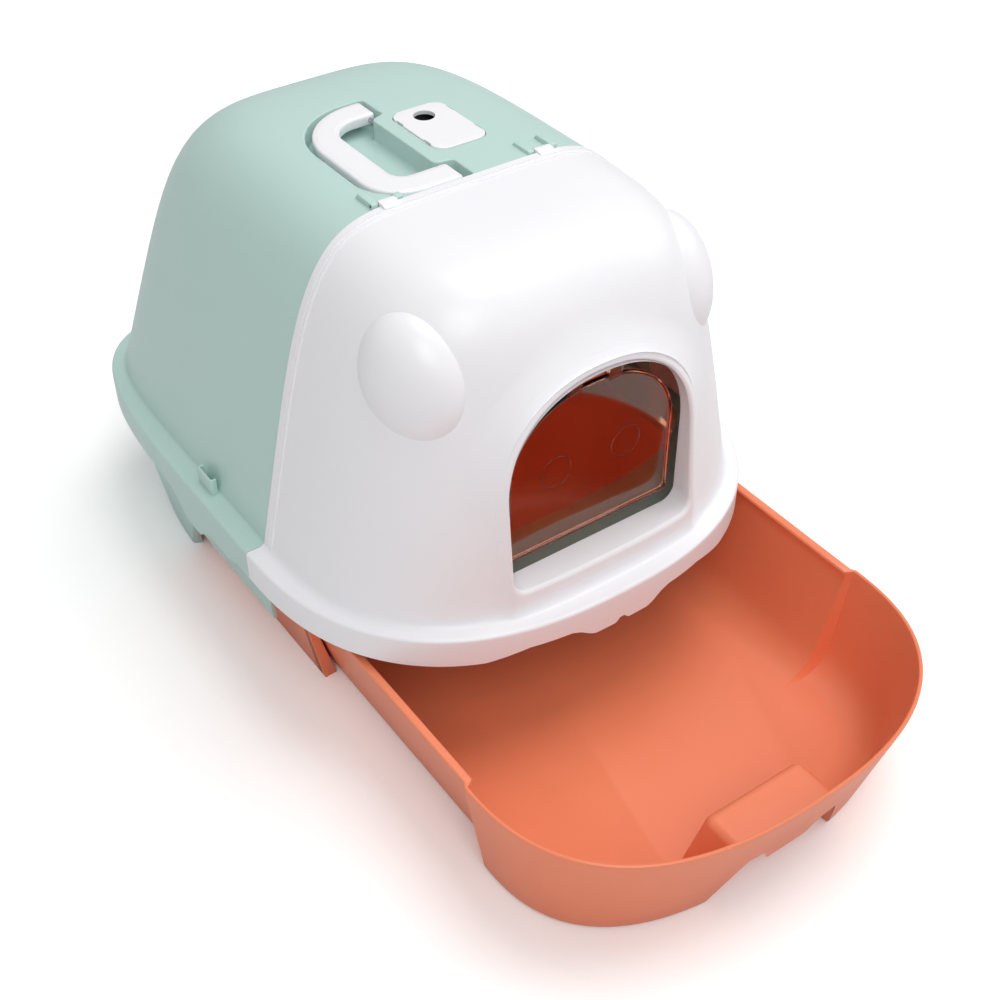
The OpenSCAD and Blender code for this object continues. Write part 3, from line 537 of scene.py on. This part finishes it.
def face_depth(z):
    """How far the front of the muzzle stands before the seam."""
    return 174.5 - 0.07 * (z - FLANGE_Z)


def blend_max(a, b, k):
    h = np.maximum(0, k - np.abs(a - b)) / k
    return np.maximum(a, b) + h * h * k / 4


def wall_depth(x, z):
    n, w = front_power(z), np.maximum(half_width(z), 1e-3)
    return front_depth(z) * np.maximum(0, 1 - np.minimum(1, np.abs(x) / w) ** n) ** (1 / n)


def muzzle_depth(x, z):
    """A crest with a rounded edge beside the entry, then a slope that grows steeper away from it."""
    over = np.clip(arch_distance(x, z, ENTRY_HALF + 6.5, ENTRY_TOP + 7.5, SPRING) + CREST, 0, None)
    rounding = CREST - np.sqrt(np.maximum(0, CREST ** 2 - over ** 2))
    slope = CREST * 0.219 + (over - CREST * 0.6247) * 0.95 + 0.0004 * np.maximum(over - CREST, 0) ** 3
    return face_depth(z) - np.where(over < CREST * 0.6247, rounding, slope)


def front_surface(x, z):
    """Depth of the finished front, with the muzzle blended into the wall."""
    return blend_max(wall_depth(x, z), muzzle_depth(x, z), MUZZLE_BLEND)


def entry_distance(x, z):
    """Signed distance to the closed entry arch, minus inside."""
    side, low = arch_distance(x, z, ENTRY_HALF, ENTRY_TOP, SPRING), SILL - z
    a, b = side + ENTRY_CORNER, low + ENTRY_CORNER
    return np.where((a > 0) & (b > 0), np.hypot(a, b) - ENTRY_CORNER, np.maximum(side, low))


grid = np.array(hood_rows(True, 420, 110, 44, front_skirt))
first_wall = FLANGE_ROWS + FILLET_ROWS
x, y, z = np.moveaxis(grid[first_wall:].copy(), -1, 0)
front = (np.abs(x) < 135) & (y < -60)
y = np.where(front, np.minimum(y, -front_surface(x, z)), y)
grid[first_wall:, :, 1] = y + np.clip(9.4 - entry_distance(x, z), 0, 0.8) * front
foot = grid[FLANGE_ROWS:first_wall]
foot_blend = np.linspace(0.25, 1, FILLET_ROWS)[:, None] * (np.abs(foot[..., 0]) < 110)
gain = np.maximum(0, front_surface(foot[..., 0], foot[..., 2]) - wall_depth(foot[..., 0], foot[..., 2]))
grid[FLANGE_ROWS:first_wall, :, 1] -= gain * foot_blend
points, faces = skin(list(grid))
centre = points[faces].mean(axis=1)
keep = ~((entry_distance(centre[:, 0], centre[:, 2]) < 6.0) & (centre[:, 1] < -60))
points[:, 1] += SEAM
front_stock = thicken(loose(points, faces[keep][:, ::-1], "front_hood_shell"), HOOD_WALL)
dress(front_stock, white_plastic, "front_hood", "white_plastic", ["front_hood"], 50)
print("front hood shell:", len(front_stock.data.polygons), "faces")

# %% [markdown]
# The rim of the entry is a strip swept round the arch. It starts flat on the muzzle and covers the raw edge of the
# shell, which was set back a little there. Then it turns over a 3 mm radius and runs back as a deep reveal.

# %% Rim of the entry
def entry_shape(grow, steps=72):
    """The entry arch in the front view, as x and z, grown outwards."""
    t = np.linspace(0, math.pi, steps + 1)
    c, s = around(t, ARCH_POWER)
    top = np.column_stack([(ENTRY_HALF + grow) * c, SPRING + (ENTRY_TOP + grow * 1.1 - SPRING) * s])
    r, half, low = ENTRY_CORNER + 0.4 * grow, ENTRY_HALF + grow, SILL - grow
    a = np.linspace(math.pi, 1.5 * math.pi, 13)
    left = np.column_stack([-half + r + r * np.cos(a), low + r + r * np.sin(a)])
    right = np.column_stack([half - r - r * np.cos(a[::-1]), low + r + r * np.sin(a[::-1])])
    floor = np.column_stack([np.linspace(-half + r, half - r, 41)[1:-1], np.full(39, low)])
    side_l = np.column_stack([np.full(20, -half), np.linspace(SPRING, low + r, 22)[1:-1]])
    side_r = np.column_stack([np.full(20, half), np.linspace(low + r, SPRING, 22)[1:-1]])
    return np.concatenate([top, side_l, left, floor, right, side_r])


def standing(rows_2d):
    """Rows of (outline, depth from the seam) made into points that stand in the front view."""
    return [np.column_stack([o[:, 0], np.full(len(o), SEAM + y), o[:, 1]]) for o, y in rows_2d]


rim_profile = [(10.5, -0.15), (9.6, 0.06), (8.6, 0.1), (6.5, 0.1), (4.6, 0.1), (3.4, 0.1)]
RIM_EDGE = 3.2
rim_profile += [(RIM_EDGE * (1 - math.sin(a)), 0.1 - RIM_EDGE * (1 - math.cos(a)))
                for a in np.linspace(0.15, math.pi / 2, 7)]
rows = []
for grow, lift in rim_profile:
    o = entry_shape(grow)
    rows.append(np.column_stack([o[:, 0], SEAM - front_surface(o[:, 0], o[:, 1]) - lift, o[:, 1]]))
reveal = ((0, -163.5), (0, -158), (0, -154.6), (1.0, -154.2), (2.4, -154.2), (2.6, -158), (6.5, -163))
rows += standing([(entry_shape(grow), y) for grow, y in reveal])
points, faces = skin(rows, closed=True)
make_piece("entry_rim", points, faces[:, ::-1], white_plastic, "front_hood", "white_plastic", (), 50)
print("entry is", 2 * ENTRY_HALF, "mm wide and", ENTRY_TOP - SILL, "mm high")

# %% [markdown]
# Each ear is the part of a leaning egg that stands out of the wall. We turn the egg outwards, lean it a little and
# drop every face that would lie inside the hood, so the crease against the wall stays crisp.

# %% Ears
def ear(side, centre=(112.9, -100.2, 319.3), size=(28.9, 40.4, 49.2), yaw=56.3, lean=20.5, nod=12.0):
    u = np.linspace(0, 2 * math.pi, 181)[:-1]
    rings = [np.column_stack([math.cos(v) * np.cos(u), math.cos(v) * np.sin(u), np.full(180, math.sin(v))]) * size
             for v in np.linspace(-math.pi / 2 + 0.001, math.pi / 2 - 0.001, 120)]
    points, faces = skin(rings, closed=True)
    yaw, lean, nod = math.radians(yaw), math.radians(lean), math.radians(nod)
    out, along = np.array([math.sin(yaw), -math.cos(yaw), 0]), np.array([math.cos(yaw), math.sin(yaw), 0])
    rise = np.array([0, 0, 1.0])
    up, aside = rise * math.cos(lean) + along * math.sin(lean), along * math.cos(lean) - rise * math.sin(lean)
    axes = np.stack([out * math.cos(nod) + up * math.sin(nod), aside, up * math.cos(nod) - out * math.sin(nod)])
    points = points @ axes + centre
    mid = points[faces].mean(axis=1)
    faces = faces[fullness(mid[:, 0], mid[:, 1], np.minimum(mid[:, 2], ROOF_Z - 0.1)) > 0.965]
    used, faces = np.unique(faces, return_inverse=True)
    points, faces = points[used] * [side, 1, 1] + [0, SEAM, 0], faces.reshape(-1, 4)
    return points, faces if side > 0 else faces[:, ::-1]


hood_ears = make_piece("hood_ears", *join(ear(-1), ear(1)), white_plastic, "front_hood", "white_plastic", (), 60)
print("ears:", len(hood_ears.data.polygons), "faces")

# %% [markdown]
# Where the two hoods meet, the front one carries a raised band with a fine groove in it. The band follows the arch
# of the wall, one millimetre proud of it.

# %% Seam band
def arch_ring(depth, lift, angles):
    """Points of the arch at a depth before the seam, lifted off the wall."""
    low, high = np.full(len(angles), 60.0), np.full(len(angles), 300.0)
    c, s = np.cos(angles), np.sin(angles)
    for _ in range(44):
        mid = (low + high) / 2
        x, z = mid * c, 150 + mid * s
        inside = (fullness(x, np.full(len(x), -depth), np.minimum(z, ROOF_Z - 1e-4)) < 1) & (z < ROOF_Z)
        low, high = np.where(inside, mid, low), np.where(inside, high, mid)
    p = np.column_stack([low * c, 150 + low * s])
    t = np.gradient(p, axis=0)
    n = np.column_stack([t[:, 1], -t[:, 0]])
    n /= np.linalg.norm(n, axis=1, keepdims=True)
    p = p + n * lift
    return np.column_stack([p[:, 0], np.full(len(p), SEAM - depth), p[:, 1]])


angles = np.linspace(math.radians(-3.0), math.radians(183.0), 361)
band_profile = [(0.35, -1.4), (0.35, 0.8), (0.7, 1.1), (6.8, 1.1), (6.95, 0.35), (8.75, 0.35), (8.9, 1.1),
                (10.6, 1.0), (11.1, 0.6), (11.2, -0.6)]
points, faces = skin([arch_ring(depth, lift, angles) for depth, lift in band_profile])
make_piece("seam_band", points, faces, white_plastic, "front_hood", "white_plastic", (), 25)
print("seam band:", len(points), "points")

# %% [markdown]
# The two straps are tongues of the front hood that reach over the seam to the hinge pin. They rise into a low
# knuckle with a rounded tip.

# %% Hinge straps
STRAP_WIDE = 14


def strap_part(x0):
    side = [(-7.0, 389.0, 0), (-7.0, 391.9, 0.6), (-5.5, 393.2, 1.5), (0.8, 394.2, 2.0), (4.9, 394.2, 2.3),
            (4.9, 389.5, 2.3), (0, 389.0, 0)]
    return tab(side, x0, x0 + STRAP_WIDE, 0.6)


make_piece("hinge_tongues", *join(strap_part(-74.3), strap_part(60.3)), white_plastic,
           "front_hood", "white_plastic", ["hinge_straps"], 40)
print("straps are", STRAP_WIDE, "mm wide")

# %% [markdown]
# The flap hangs from a steel rod under the arch. It is one clear moulding: a flat plate, a raised bead round its
# edge, which is what catches the light, two faint rings and two narrow hangers over the rod.

# %% Entry flap
def flap_shape(grow, steps=60):
    t = np.linspace(0, math.pi, steps + 1)
    c, s = around(t, ARCH_POWER)
    half, low, top, r = 75 + grow, 170 - grow, 303 + grow, 7 + grow
    arc = np.column_stack([half * c, SPRING + (top - SPRING) * s])
    a = np.linspace(math.pi, 1.5 * math.pi, 9)
    left = np.column_stack([-half + r + r * np.cos(a), low + r + r * np.sin(a)])
    right = np.column_stack([half - r - r * np.cos(a[::-1]), low + r + r * np.sin(a[::-1])])
    return np.concatenate([arc, left, right])


ROD_Y, ROD_Z, HANGER_WIDE, RING_Z = -152.0, 311.0, 12, 235.5
bead = [(-2.9, -1.2), (-2.6, -2.2), (-1.8, -2.6), (-0.9, -2.6), (-0.2, -2.1), (0, -1.2)]
bead += [(grow, -depth) for grow, depth in bead[::-1]]
points, faces = capped(standing([(flap_shape(g), ROD_Y + y) for g, y in bead]))
parts = [(points, [f[::-1] for f in faces])]
t = np.linspace(0, 2 * math.pi, 49)[:-1]
for x in (-31.5, 31.5):
    rings = [np.column_stack([x + r * np.cos(t), np.full(48, SEAM + ROD_Y + depth), RING_Z + r * np.sin(t)])
             for r, depth in ((13.6, -1.2), (13.4, -1.75), (12.8, -1.75), (12.6, -1.2))]
    parts.append(skin(rings, closed=True))
hanger = [(-1.4, -14, 0.3), (1.4, -14, 0.3), (3.0, -3, 2), (3.0, 2.6, 2.6), (-3.0, 2.6, 2.6), (-3.0, -3, 2)]
for x in (-24.0, 12.0):
    points, faces = slab(lambda g: outline(hanger, g, 5), x, x + HANGER_WIDE, 0.4, 0.0)
    parts.append((stand_up(points) + [0, SEAM + ROD_Y, ROD_Z], faces))
entry_flap = make_piece("entry_flap_clear", *join(*parts), amber_clear, "flap", "amber_plastic", ["entry_flap"], 30)
print("flap:", len(entry_flap.data.polygons), "faces")

# %% [markdown]
# The carry handle is a flat bow that lies in its tray, with rounded edges where the hand holds it. Seen from above
# it is a plain smooth shape with a very faint step near its edge.

# %% Carry handle
def handle_shape(grow):
    return outline([(-1.0, 3.4, 3), (-1.0, 27.4, 3), (-43, 27.4, 12), (-43, 124.9, 24),
                    (-1.0, 124.9, 3), (-1.0, 148.9, 3), (-67, 148.9, 57), (-67, 3.4, 34)], grow, 14)


profile = [(-2.5, 382.4), (-0.7, 383.0), (0.0, 384.9), (0.0, 389.2)]
profile += [(-2.2 * (1 - math.cos(a)), 389.2 + 2.0 * math.sin(a)) for a in np.linspace(0.3, math.pi / 2, 5)]
profile += [(-3.4, 391.2), (-3.7, 391.38), (-4.4, ROOF_Z)]
points, faces = capped(flat_rings(handle_shape, profile))
carry_handle = make_piece("carry_handle_bow", points, faces, white_plastic,
                          "handle", "white_plastic", ["carry_handle"], 45)
print("handle:", len(carry_handle.data.polygons), "faces")

# %% [markdown]
# The filter lid is a thin plate with a finger hole, four small slots and a skirt that keeps it in its seat. Below
# it hangs a dark grille with a felt pad that is filled with charcoal.

# %% Filter lid and charcoal pad
LID_LOW, LID_TOP, FINGER_HOLE = 389.2, 392.2, 8.5


def hole_shape(grow, steps=40):
    t = np.linspace(0, 2 * math.pi, steps + 1)[:-1]
    return np.column_stack([26.3 + (FINGER_HOLE + grow) * np.cos(t), 97.8 + (FINGER_HOLE + grow) * np.sin(t)])


def solid_of(shape, low, high, edge=0.02):
    return loose(*slab(shape, low, high, edge))


lid_stock = solid_of(lid_shape, LID_LOW, LID_TOP, 0.7)
cut(lid_stock, solid_of(lambda g: lid_shape(g - 0.6), 387.9, LID_LOW + 0.4, 0.1), how="UNION")
cut(lid_stock, solid_of(lambda g: lid_shape(g - 2.8), 386.0, LID_LOW), solid_of(hole_shape, 385, 395))
for x, y in ((3.9, 60), (50.5, 60), (3.9, 98), (50.5, 98)):
    slot_shape = [(x - 1.1, y - 5, 0.5), (x + 1.1, y - 5, 0.5), (x + 1.1, y + 5, 0.5), (x - 1.1, y + 5, 0.5)]
    cut(lid_stock, solid_of(lambda g, s=slot_shape: outline(s, g, 3), 385, 395))
lid_stock.name = "filter_lid"
dress(lid_stock, white_plastic, "lid", "white_plastic", ["deodoriser_lid"], 40)

pad_profile = [(-6, 365.6), (-1.5, 365.8), (-0.2, 367.2), (0, 370), (0, 375.5), (-0.4, 378), (-2, 379), (-8, 379.3)]
points, faces = capped(flat_rings(lambda g: lid_shape(g - 7.2), pad_profile))
pad = make_piece("charcoal_felt_pad", points, faces, charcoal_felt, "base", "charcoal_felt", ["charcoal_pack"], 60)
print("lid and felt pad made")

# %% [markdown]
# Each side clip is a small U that stands up through the flange beside the wall.

# %% Side clips
CLIP_LOW, CLIP_TOP = 135.6, 153


def clip_shape(side, outer=200.0, inner=194.5):
    corners = [(inner, 75, 0.2), (outer, 75, 2.5), (outer, 99, 2.5), (inner, 99, 0.2),
               (inner, 97, 0.2), (outer - 2, 97, 1), (outer - 2, 77, 1), (inner, 77, 0.2)]
    return [(side * x, y, r) for x, y, r in corners]


for side, name in ((-1, "left"), (1, "right")):
    points, faces = slab(lambda g, s=side: outline(clip_shape(s), g, 5), CLIP_LOW, CLIP_TOP, 0.7)
    make_piece("side_clip_" + name + "_tab", points, faces, mint_plastic, "base", "mint_plastic",
               ["side_clip_" + name], 40)
print("clips stand", CLIP_TOP - FLANGE_Z, "mm over the flange")

# %% [markdown]
# The base is a ring under the flange. Its side walls slope inwards and come down to the floor as a leg at each back
# corner. At the front it widens into a step behind the entry, whose inner edge has a lip turned down behind it.

# %% Base frame
BASE_HALF, BASE_TOP, SIDE_LOW, STEP_LIP = 206.0, 135.2, 58.0, 108.5


def base_low_edge(a, rear):
    """Height of the lower edge, at an angle in degrees from the seam: 0 is the floor."""
    if not rear:
        return np.interp(a, [0, 4, 90], [SIDE_LOW, SKIRT_Z + 1, SKIRT_Z + 1])
    return np.interp(a, [0, 24, 30, 53, 57.5, 90], [SIDE_LOW, SIDE_LOW, 0, 0, SIDE_LOW, SIDE_LOW])


def base_section(angle, rear):
    """One section of the ring: up its outer face, in over the top, and down its inner face."""
    a, low, top = math.radians(angle), float(base_low_edge(angle, rear)), BASE_TOP
    length, power = (REAR_LEN, REAR_FLANGE_POWER) if rear else (FRONT_LEN, FRONT_FLANGE_POWER)
    back, soft, lip = (315.0, 5.2, top - 3.2) if rear else (94.0, 3.0, STEP_LIP)
    slope, thick = 0.155 * (top - low), 3 + 4.5 * max(0.0, 1 - low / SIDE_LOW)

    def ring(w, d, n, z):
        c, s = around(np.array(a), n)
        return (w * float(c), SEAM + (1 if rear else -1) * d * float(s), z)

    def wall(inset, z):
        return ring(BASE_HALF - inset, length - 4.0 - inset, power, z)

    return [wall(slope - 0.4, low + 1.2), wall(1, top - 5), wall(1, top),
            ring(187, back, soft, top), ring(187, back, soft, lip),
            ring(189, back + 2, soft, lip), ring(189, back + 2, soft, top - 3),
            wall(4.2, top - 3), wall(thick + slope, low + 1.0), wall(thick + slope - 1, low), wall(slope + 0.8, low)]


front_angles = np.concatenate([np.linspace(90, 8, 60), [6, 4.5, 4, 3, 2.2]])
rear_angles = np.unique(np.concatenate([np.linspace(0, 90, 91), [24, 53, 57.5]]))
half = [base_section(a, False) for a in front_angles] + [base_section(a, True) for a in rear_angles]
ring = half + [[(-x, y, z) for x, y, z in s] for s in half[-2:0:-1]]
rows = np.array(ring).transpose(1, 0, 2)
points, faces = skin(list(rows) + [rows[0]], closed=True)
base_ring = make_piece("base_ring", points, faces, mint_plastic, "base", "mint_plastic", ["base_frame"], 30)
print("base ring:", len(base_ring.data.polygons), "faces")

# %% [markdown]
# The drawer is one deep coral pan. Its bowed front is wider than its straight body, and its rim is a thin rounded
# edge. The floor meets the wall in a broad fillet, so that litter can be scooped out of the corners. A notch and
# a raised block under the front make room for the fingers.

# %% Litter drawer
BOW, HALF, WALL_IN, PULL_Y = 147.0, 187.0, -3.2, DRAWER_FRONT + 44.0
JOG = DRAWER_FRONT + BOW


def mix(a, b, k):
    return a + (b - a) * k


def drawer_row(z, grow, lip=0.0):
    """The drawer's outline at one height; the lip only sets the straight sides and the back inwards."""
    k = z / DRAWER_H
    a = np.linspace(math.pi / 2, 0, 90)
    c, s = around(a, mix(2.6, 2.47, k))
    bow = np.column_stack([(mix(HALF - 17, HALF, k) + grow) * c, JOG - (mix(BOW - 30, BOW, k) + grow) * s])
    mid, r0 = mix(HALF - 32, HALF - 2.5, k), mix(48, 60, k)
    back = DRAWER_FRONT + DRAWER_LEN - mix(17, 0, k)
    r = r0 + grow - lip
    t = np.linspace(0, math.pi / 2, 24)
    side = np.column_stack([np.full(12, mid + grow - lip), np.linspace(JOG + 4, back - r0, 13)[:-1]])
    corner = np.column_stack([mid - r0 + r * np.cos(t), back - r0 + r * np.sin(t)])
    end = np.column_stack([np.linspace(mid - r0, 0, 12)[1:], np.full(11, back + grow - lip)])
    half = np.concatenate([bow, side, corner, end])
    other = half[1:-1][::-1] * [-1, 1]
    p = np.concatenate([half, other])
    return np.column_stack([p, np.full(len(p), float(z))])


outside = [(0.0, -6.0, 0), (0.9, -3.2, 0), (2.6, -1.2, 0), (5, -0.2, 0), (9, 0, 0), (60, 0, 0), (96, 0, 0)]
rim = [(102.6, 0, 0), (104.4, -0.5, 0), (DRAWER_H, -1.4, 0), (DRAWER_H, -2.2, 2.8), (104.4, -3.0, 3.6),
       (103, WALL_IN, 3.8), (98, WALL_IN, 0.6)]
inside = [(92, WALL_IN, 0), (40, WALL_IN, 0), (27, -3.6, 0), (20, -5.0, 0), (14, -8.5, 0), (9.5, -14, 0),
          (6.6, -20, 0), (5.2, -26, 0)]
drawer_stock = loose(*capped([drawer_row(*p) for p in outside + rim + inside]), "litter_drawer")


def pull_block(shrink, low):
    """The raised block that the fingers hook under, as the hull of four half balls and a wide foot."""
    points, r, foot = [], 8.0 - shrink, 7 - shrink
    turn = np.linspace(0, 2 * math.pi, 29)[:-1]
    t, v = np.meshgrid(turn, np.linspace(0, math.pi / 2, 9))
    for s in (-1, 1):
        for dy in (8, -24):
            ball = [s * 39 + r * np.sin(v) * np.cos(t), PULL_Y + dy + r * np.sin(v) * np.sin(t), 54 + r * np.cos(v)]
            points.append(np.column_stack([axis.ravel() for axis in ball]))
        for dy in (15, -10):
            points.append(np.column_stack([s * 59 + foot * np.cos(turn), PULL_Y + dy + foot * np.sin(turn),
                                           np.full(28, float(low))]))
    bm = bmesh.new()
    for p in np.concatenate(points):
        bm.verts.new(p * 0.001)
    found = bmesh.ops.convex_hull(bm, input=bm.verts)
    inner = [g for g in found["geom_interior"] if isinstance(g, bmesh.types.BMVert)]
    bmesh.ops.delete(bm, geom=inner, context="VERTS")
    block = loose([], [])
    bm.to_mesh(block.data)
    bm.free()
    return block


block = pull_block(0, 1.0)
cut(block, loose(*capped([drawer_row(z, -1.2) for z in (0.5, 30, 60, 104)])), how="INTERSECT")
cut(drawer_stock, block, how="UNION")
cut(drawer_stock, pull_block(3, -2.0))
notch = [(-62.5, -1, 0), (62.5, -1, 0), (48.5, 38, 5), (-48.5, 38, 5)]
points, faces = slab(lambda g: outline(notch, g, 6), -PULL_Y, -(DRAWER_FRONT - 5), 0.02, 0.0)
cut(drawer_stock, loose(stand_up(points, "y"), faces))
dress(drawer_stock, coral_plastic, "drawer", "coral_plastic", ["drawer"], 32)
print("drawer:", len(drawer_stock.data.polygons), "faces")

# %% [markdown]
# The fixed guide is a low coral fence in the base that the drawer slides into. Each of its two front ends stands on
# the floor just behind the seam with a rounded post, and a rail along its top reaches under the base.

# %% Drawer guide
GUIDE_TOP, GUIDE_START = 95.0, 1.5


def guide_half(z):
    return mix(166.0, 182.3, z / GUIDE_TOP)


def guide_row(z, grow):
    inner, r0 = guide_half(z), mix(48, 60, z / GUIDE_TOP)
    back = DRAWER_FRONT + DRAWER_LEN - mix(17, 0, z / DRAWER_H) + 230.5
    r = r0 + grow
    t = np.linspace(0, math.pi / 2, 20)
    side = np.column_stack([np.full(14, inner + grow), np.linspace(GUIDE_START, back - r0, 15)[:-1]])
    corner = np.column_stack([inner - r0 + r * np.cos(t), back - r0 + r * np.sin(t)])
    end = np.column_stack([np.linspace(inner - r0, 0, 10)[1:], np.full(9, back + grow)])
    half = np.concatenate([side, corner, end])
    p = np.concatenate([half, half[:-1][::-1] * [-1, 1]])
    return np.column_stack([p, np.full(len(p), float(z))])


outer_face = [(0, 0.4), (0, 2.6), (0.6, 3), (60, 3), (92.4, 3)]
rail = [(92.4, 7.5), (93.2, 8.4), (94.4, 8.4), (GUIDE_TOP, 7.6), (GUIDE_TOP, 0.6)]
inner_face = [(94.4, 0), (60, 0), (0.5, 0), (0, 0.4)]
rows = [guide_row(z, g) for z, g in outer_face + rail + inner_face]
points, faces = skin(rows)
m = len(rows[0])
ends = [[i * m for i in range(len(rows) - 1)], [i * m + m - 1 for i in range(len(rows) - 1)][::-1]]
parts = [(points, [list(f) for f in faces] + ends)]
for side in (-1, 1):
    rings = []
    for z in (0.0, 0.8, 45.0, 92.0):
        inner, reach = guide_half(z), 8.0 * (1 - z / 100)
        post = outline([(inner + 3, GUIDE_START, 3), (inner + 3, 12, 0), (inner + 1, 12, 0),
                        (inner - reach, 4, 0.5), (inner - reach, GUIDE_START, 0.8)], -0.5 if z == 0 else 0, 6)
        rings.append(np.column_stack([side * post[:, 0], post[:, 1], np.full(len(post), z)]))
    points, faces = capped(rings)
    parts.append((points, faces if side > 0 else [f[::-1] for f in faces]))
guide = make_piece("drawer_guide_fence", *join(*parts), coral_plastic, "base", "coral_plastic", ["drawer_guide"], 35)
print("guide:", len(guide.data.polygons), "faces")

# %% [markdown]
# The pins, the rod and the dark grille are plain parts that hardly show. They keep their measured CAD bodies and
# only get a finish.

# %% Finishes for the carried-over CAD parts
for node, finish, slot_name in (("hinge_pins", drawn_steel, "steel_pin"), ("handle_pins", drawn_steel, "steel_pin"),
                                ("flap_rod", drawn_steel, "steel_pin"),
                                ("deodoriser_basket", dark_plastic, "dark_plastic")):
    obj = frame["nodes"][node]
    obj.data.materials.clear()
    obj.data.materials.append(finish)
    obj["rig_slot"] = slot_name
print("carried over: pins, rod and grille")

# %% [markdown]
# The picture was taken in a white studio: a pale sweep under the box, a wide soft light overhead, a weaker one from
# the right and a high fill from the front left. Only the camera sees the paper whiter than it is, and more so far
# away, so the shadow near the box stays and the background goes to paper white.

# %% Floor, light and camera
def brighter_far_off(tree, base, strength, near=0.8, far_off=2.6):
    """A surface that the camera sees brighter than the lamps make it, up to full white in the distance."""
    rays = add_node(tree, "ShaderNodeLightPath")
    place = add_node(tree, "ShaderNodeTexCoord").outputs["Object"]
    far = add_node(tree, "ShaderNodeVectorMath", {0: place}, operation="LENGTH").outputs["Value"]
    rise = add_node(tree, "ShaderNodeMapRange", {0: far})
    rise.inputs[1].default_value, rise.inputs[2].default_value = near, far_off
    rise.inputs[3].default_value, rise.inputs[4].default_value = strength, 1.0
    glow = add_node(tree, "ShaderNodeEmission", {"Strength": rise.outputs[0]}, Color=(1, 1, 1, 1))
    none = add_node(tree, "ShaderNodeEmission", Strength=0.0)
    seen = add_node(tree, "ShaderNodeMixShader", {0: rays.outputs["Is Camera Ray"]})
    tree.links.new(none.outputs[0], seen.inputs[1])
    tree.links.new(glow.outputs[0], seen.inputs[2])
    both = add_node(tree, "ShaderNodeAddShader")
    tree.links.new(base, both.inputs[0])
    tree.links.new(seen.outputs[0], both.inputs[1])
    return both.outputs[0]


sweep = bpy.data.materials.new("studio_paper")
sweep.use_nodes = True
tree = sweep.node_tree
tree.nodes.clear()
seen_direct = add_node(tree, "ShaderNodeLightPath").outputs["Is Camera Ray"]
paper = add_node(tree, "ShaderNodeMix", {"Factor": seen_direct}, data_type="RGBA")
paper.inputs[6].default_value, paper.inputs[7].default_value = (0.8, 0.8, 0.8, 1), (1.1, 1.1, 1.1, 1)
matt = add_node(tree, "ShaderNodeBsdfDiffuse", {"Color": paper.outputs[2]}, Roughness=0.5)
add_node(tree, "ShaderNodeOutputMaterial", {"Surface": brighter_far_off(tree, matt.outputs[0], 0.02)})
mesh = bpy.data.meshes.new("studio_floor")
mesh.from_pydata([(-9, -9, 0), (9, -9, 0), (9, 9, 0), (-9, 9, 0)], [], [(0, 1, 2, 3)])
floor = bpy.data.objects.new("studio_floor", mesh)
bpy.context.scene.collection.objects.link(floor)
floor.data.materials.append(sweep)


def soft_light(name, place, width, power, target=(0, 0, 0.2)):
    lamp = bpy.data.lights.new(name, "AREA")
    lamp.shape, lamp.size, lamp.energy = "SQUARE", width, power
    obj = bpy.data.objects.new(name, lamp)
    obj.location = place
    obj.rotation_euler = (Vector(target) - Vector(place)).to_track_quat("-Z", "Y").to_euler()
    bpy.context.scene.collection.objects.link(obj)


soft_light("top_light", (1.0, -0.1, 3.7), 2.2, 58)
soft_light("right_light", (3.2, -0.8, 2.2), 2.0, 18)
soft_light("front_fill", (-1.3, -2.5, 3.2), 2.2, 47)

world = bpy.data.worlds.new("white_studio")
world.use_nodes = True
tree = world.node_tree
tree.nodes.clear()
rays = add_node(tree, "ShaderNodeLightPath")
white = add_node(tree, "ShaderNodeBackground", Color=(1, 1, 1, 1), Strength=1.0)
dim = add_node(tree, "ShaderNodeBackground", Color=(1, 1, 1, 1), Strength=0.43)
direct = add_node(tree, "ShaderNodeMath",
                  {0: rays.outputs["Is Camera Ray"], 1: rays.outputs["Is Transmission Ray"]}, operation="MAXIMUM")
mixed = add_node(tree, "ShaderNodeMixShader", {0: direct.outputs[0]})
tree.links.new(dim.outputs[0], mixed.inputs[1])
tree.links.new(white.outputs[0], mixed.inputs[2])
add_node(tree, "ShaderNodeOutputWorld", {"Surface": mixed.outputs[0]})
bpy.context.scene.world = world

lens = bpy.data.cameras.new("camera")
lens.lens, lens.sensor_width, lens.clip_start, lens.clip_end = 53.64, 36.0, 0.05, 50.0
camera = bpy.data.objects.new("camera", lens)
camera.location = (-0.53741, -0.76599, 0.90498)
looked_at = Vector((0.00334, -0.00318, 0.11022))
camera.rotation_euler = (looked_at - camera.location).to_track_quat("-Z", "Y").to_euler()
bpy.context.scene.collection.objects.link(camera)
bpy.context.scene.camera = camera
bpy.context.scene.view_settings.view_transform = "Standard"
print("camera at", [round(c, 3) for c in camera.location])
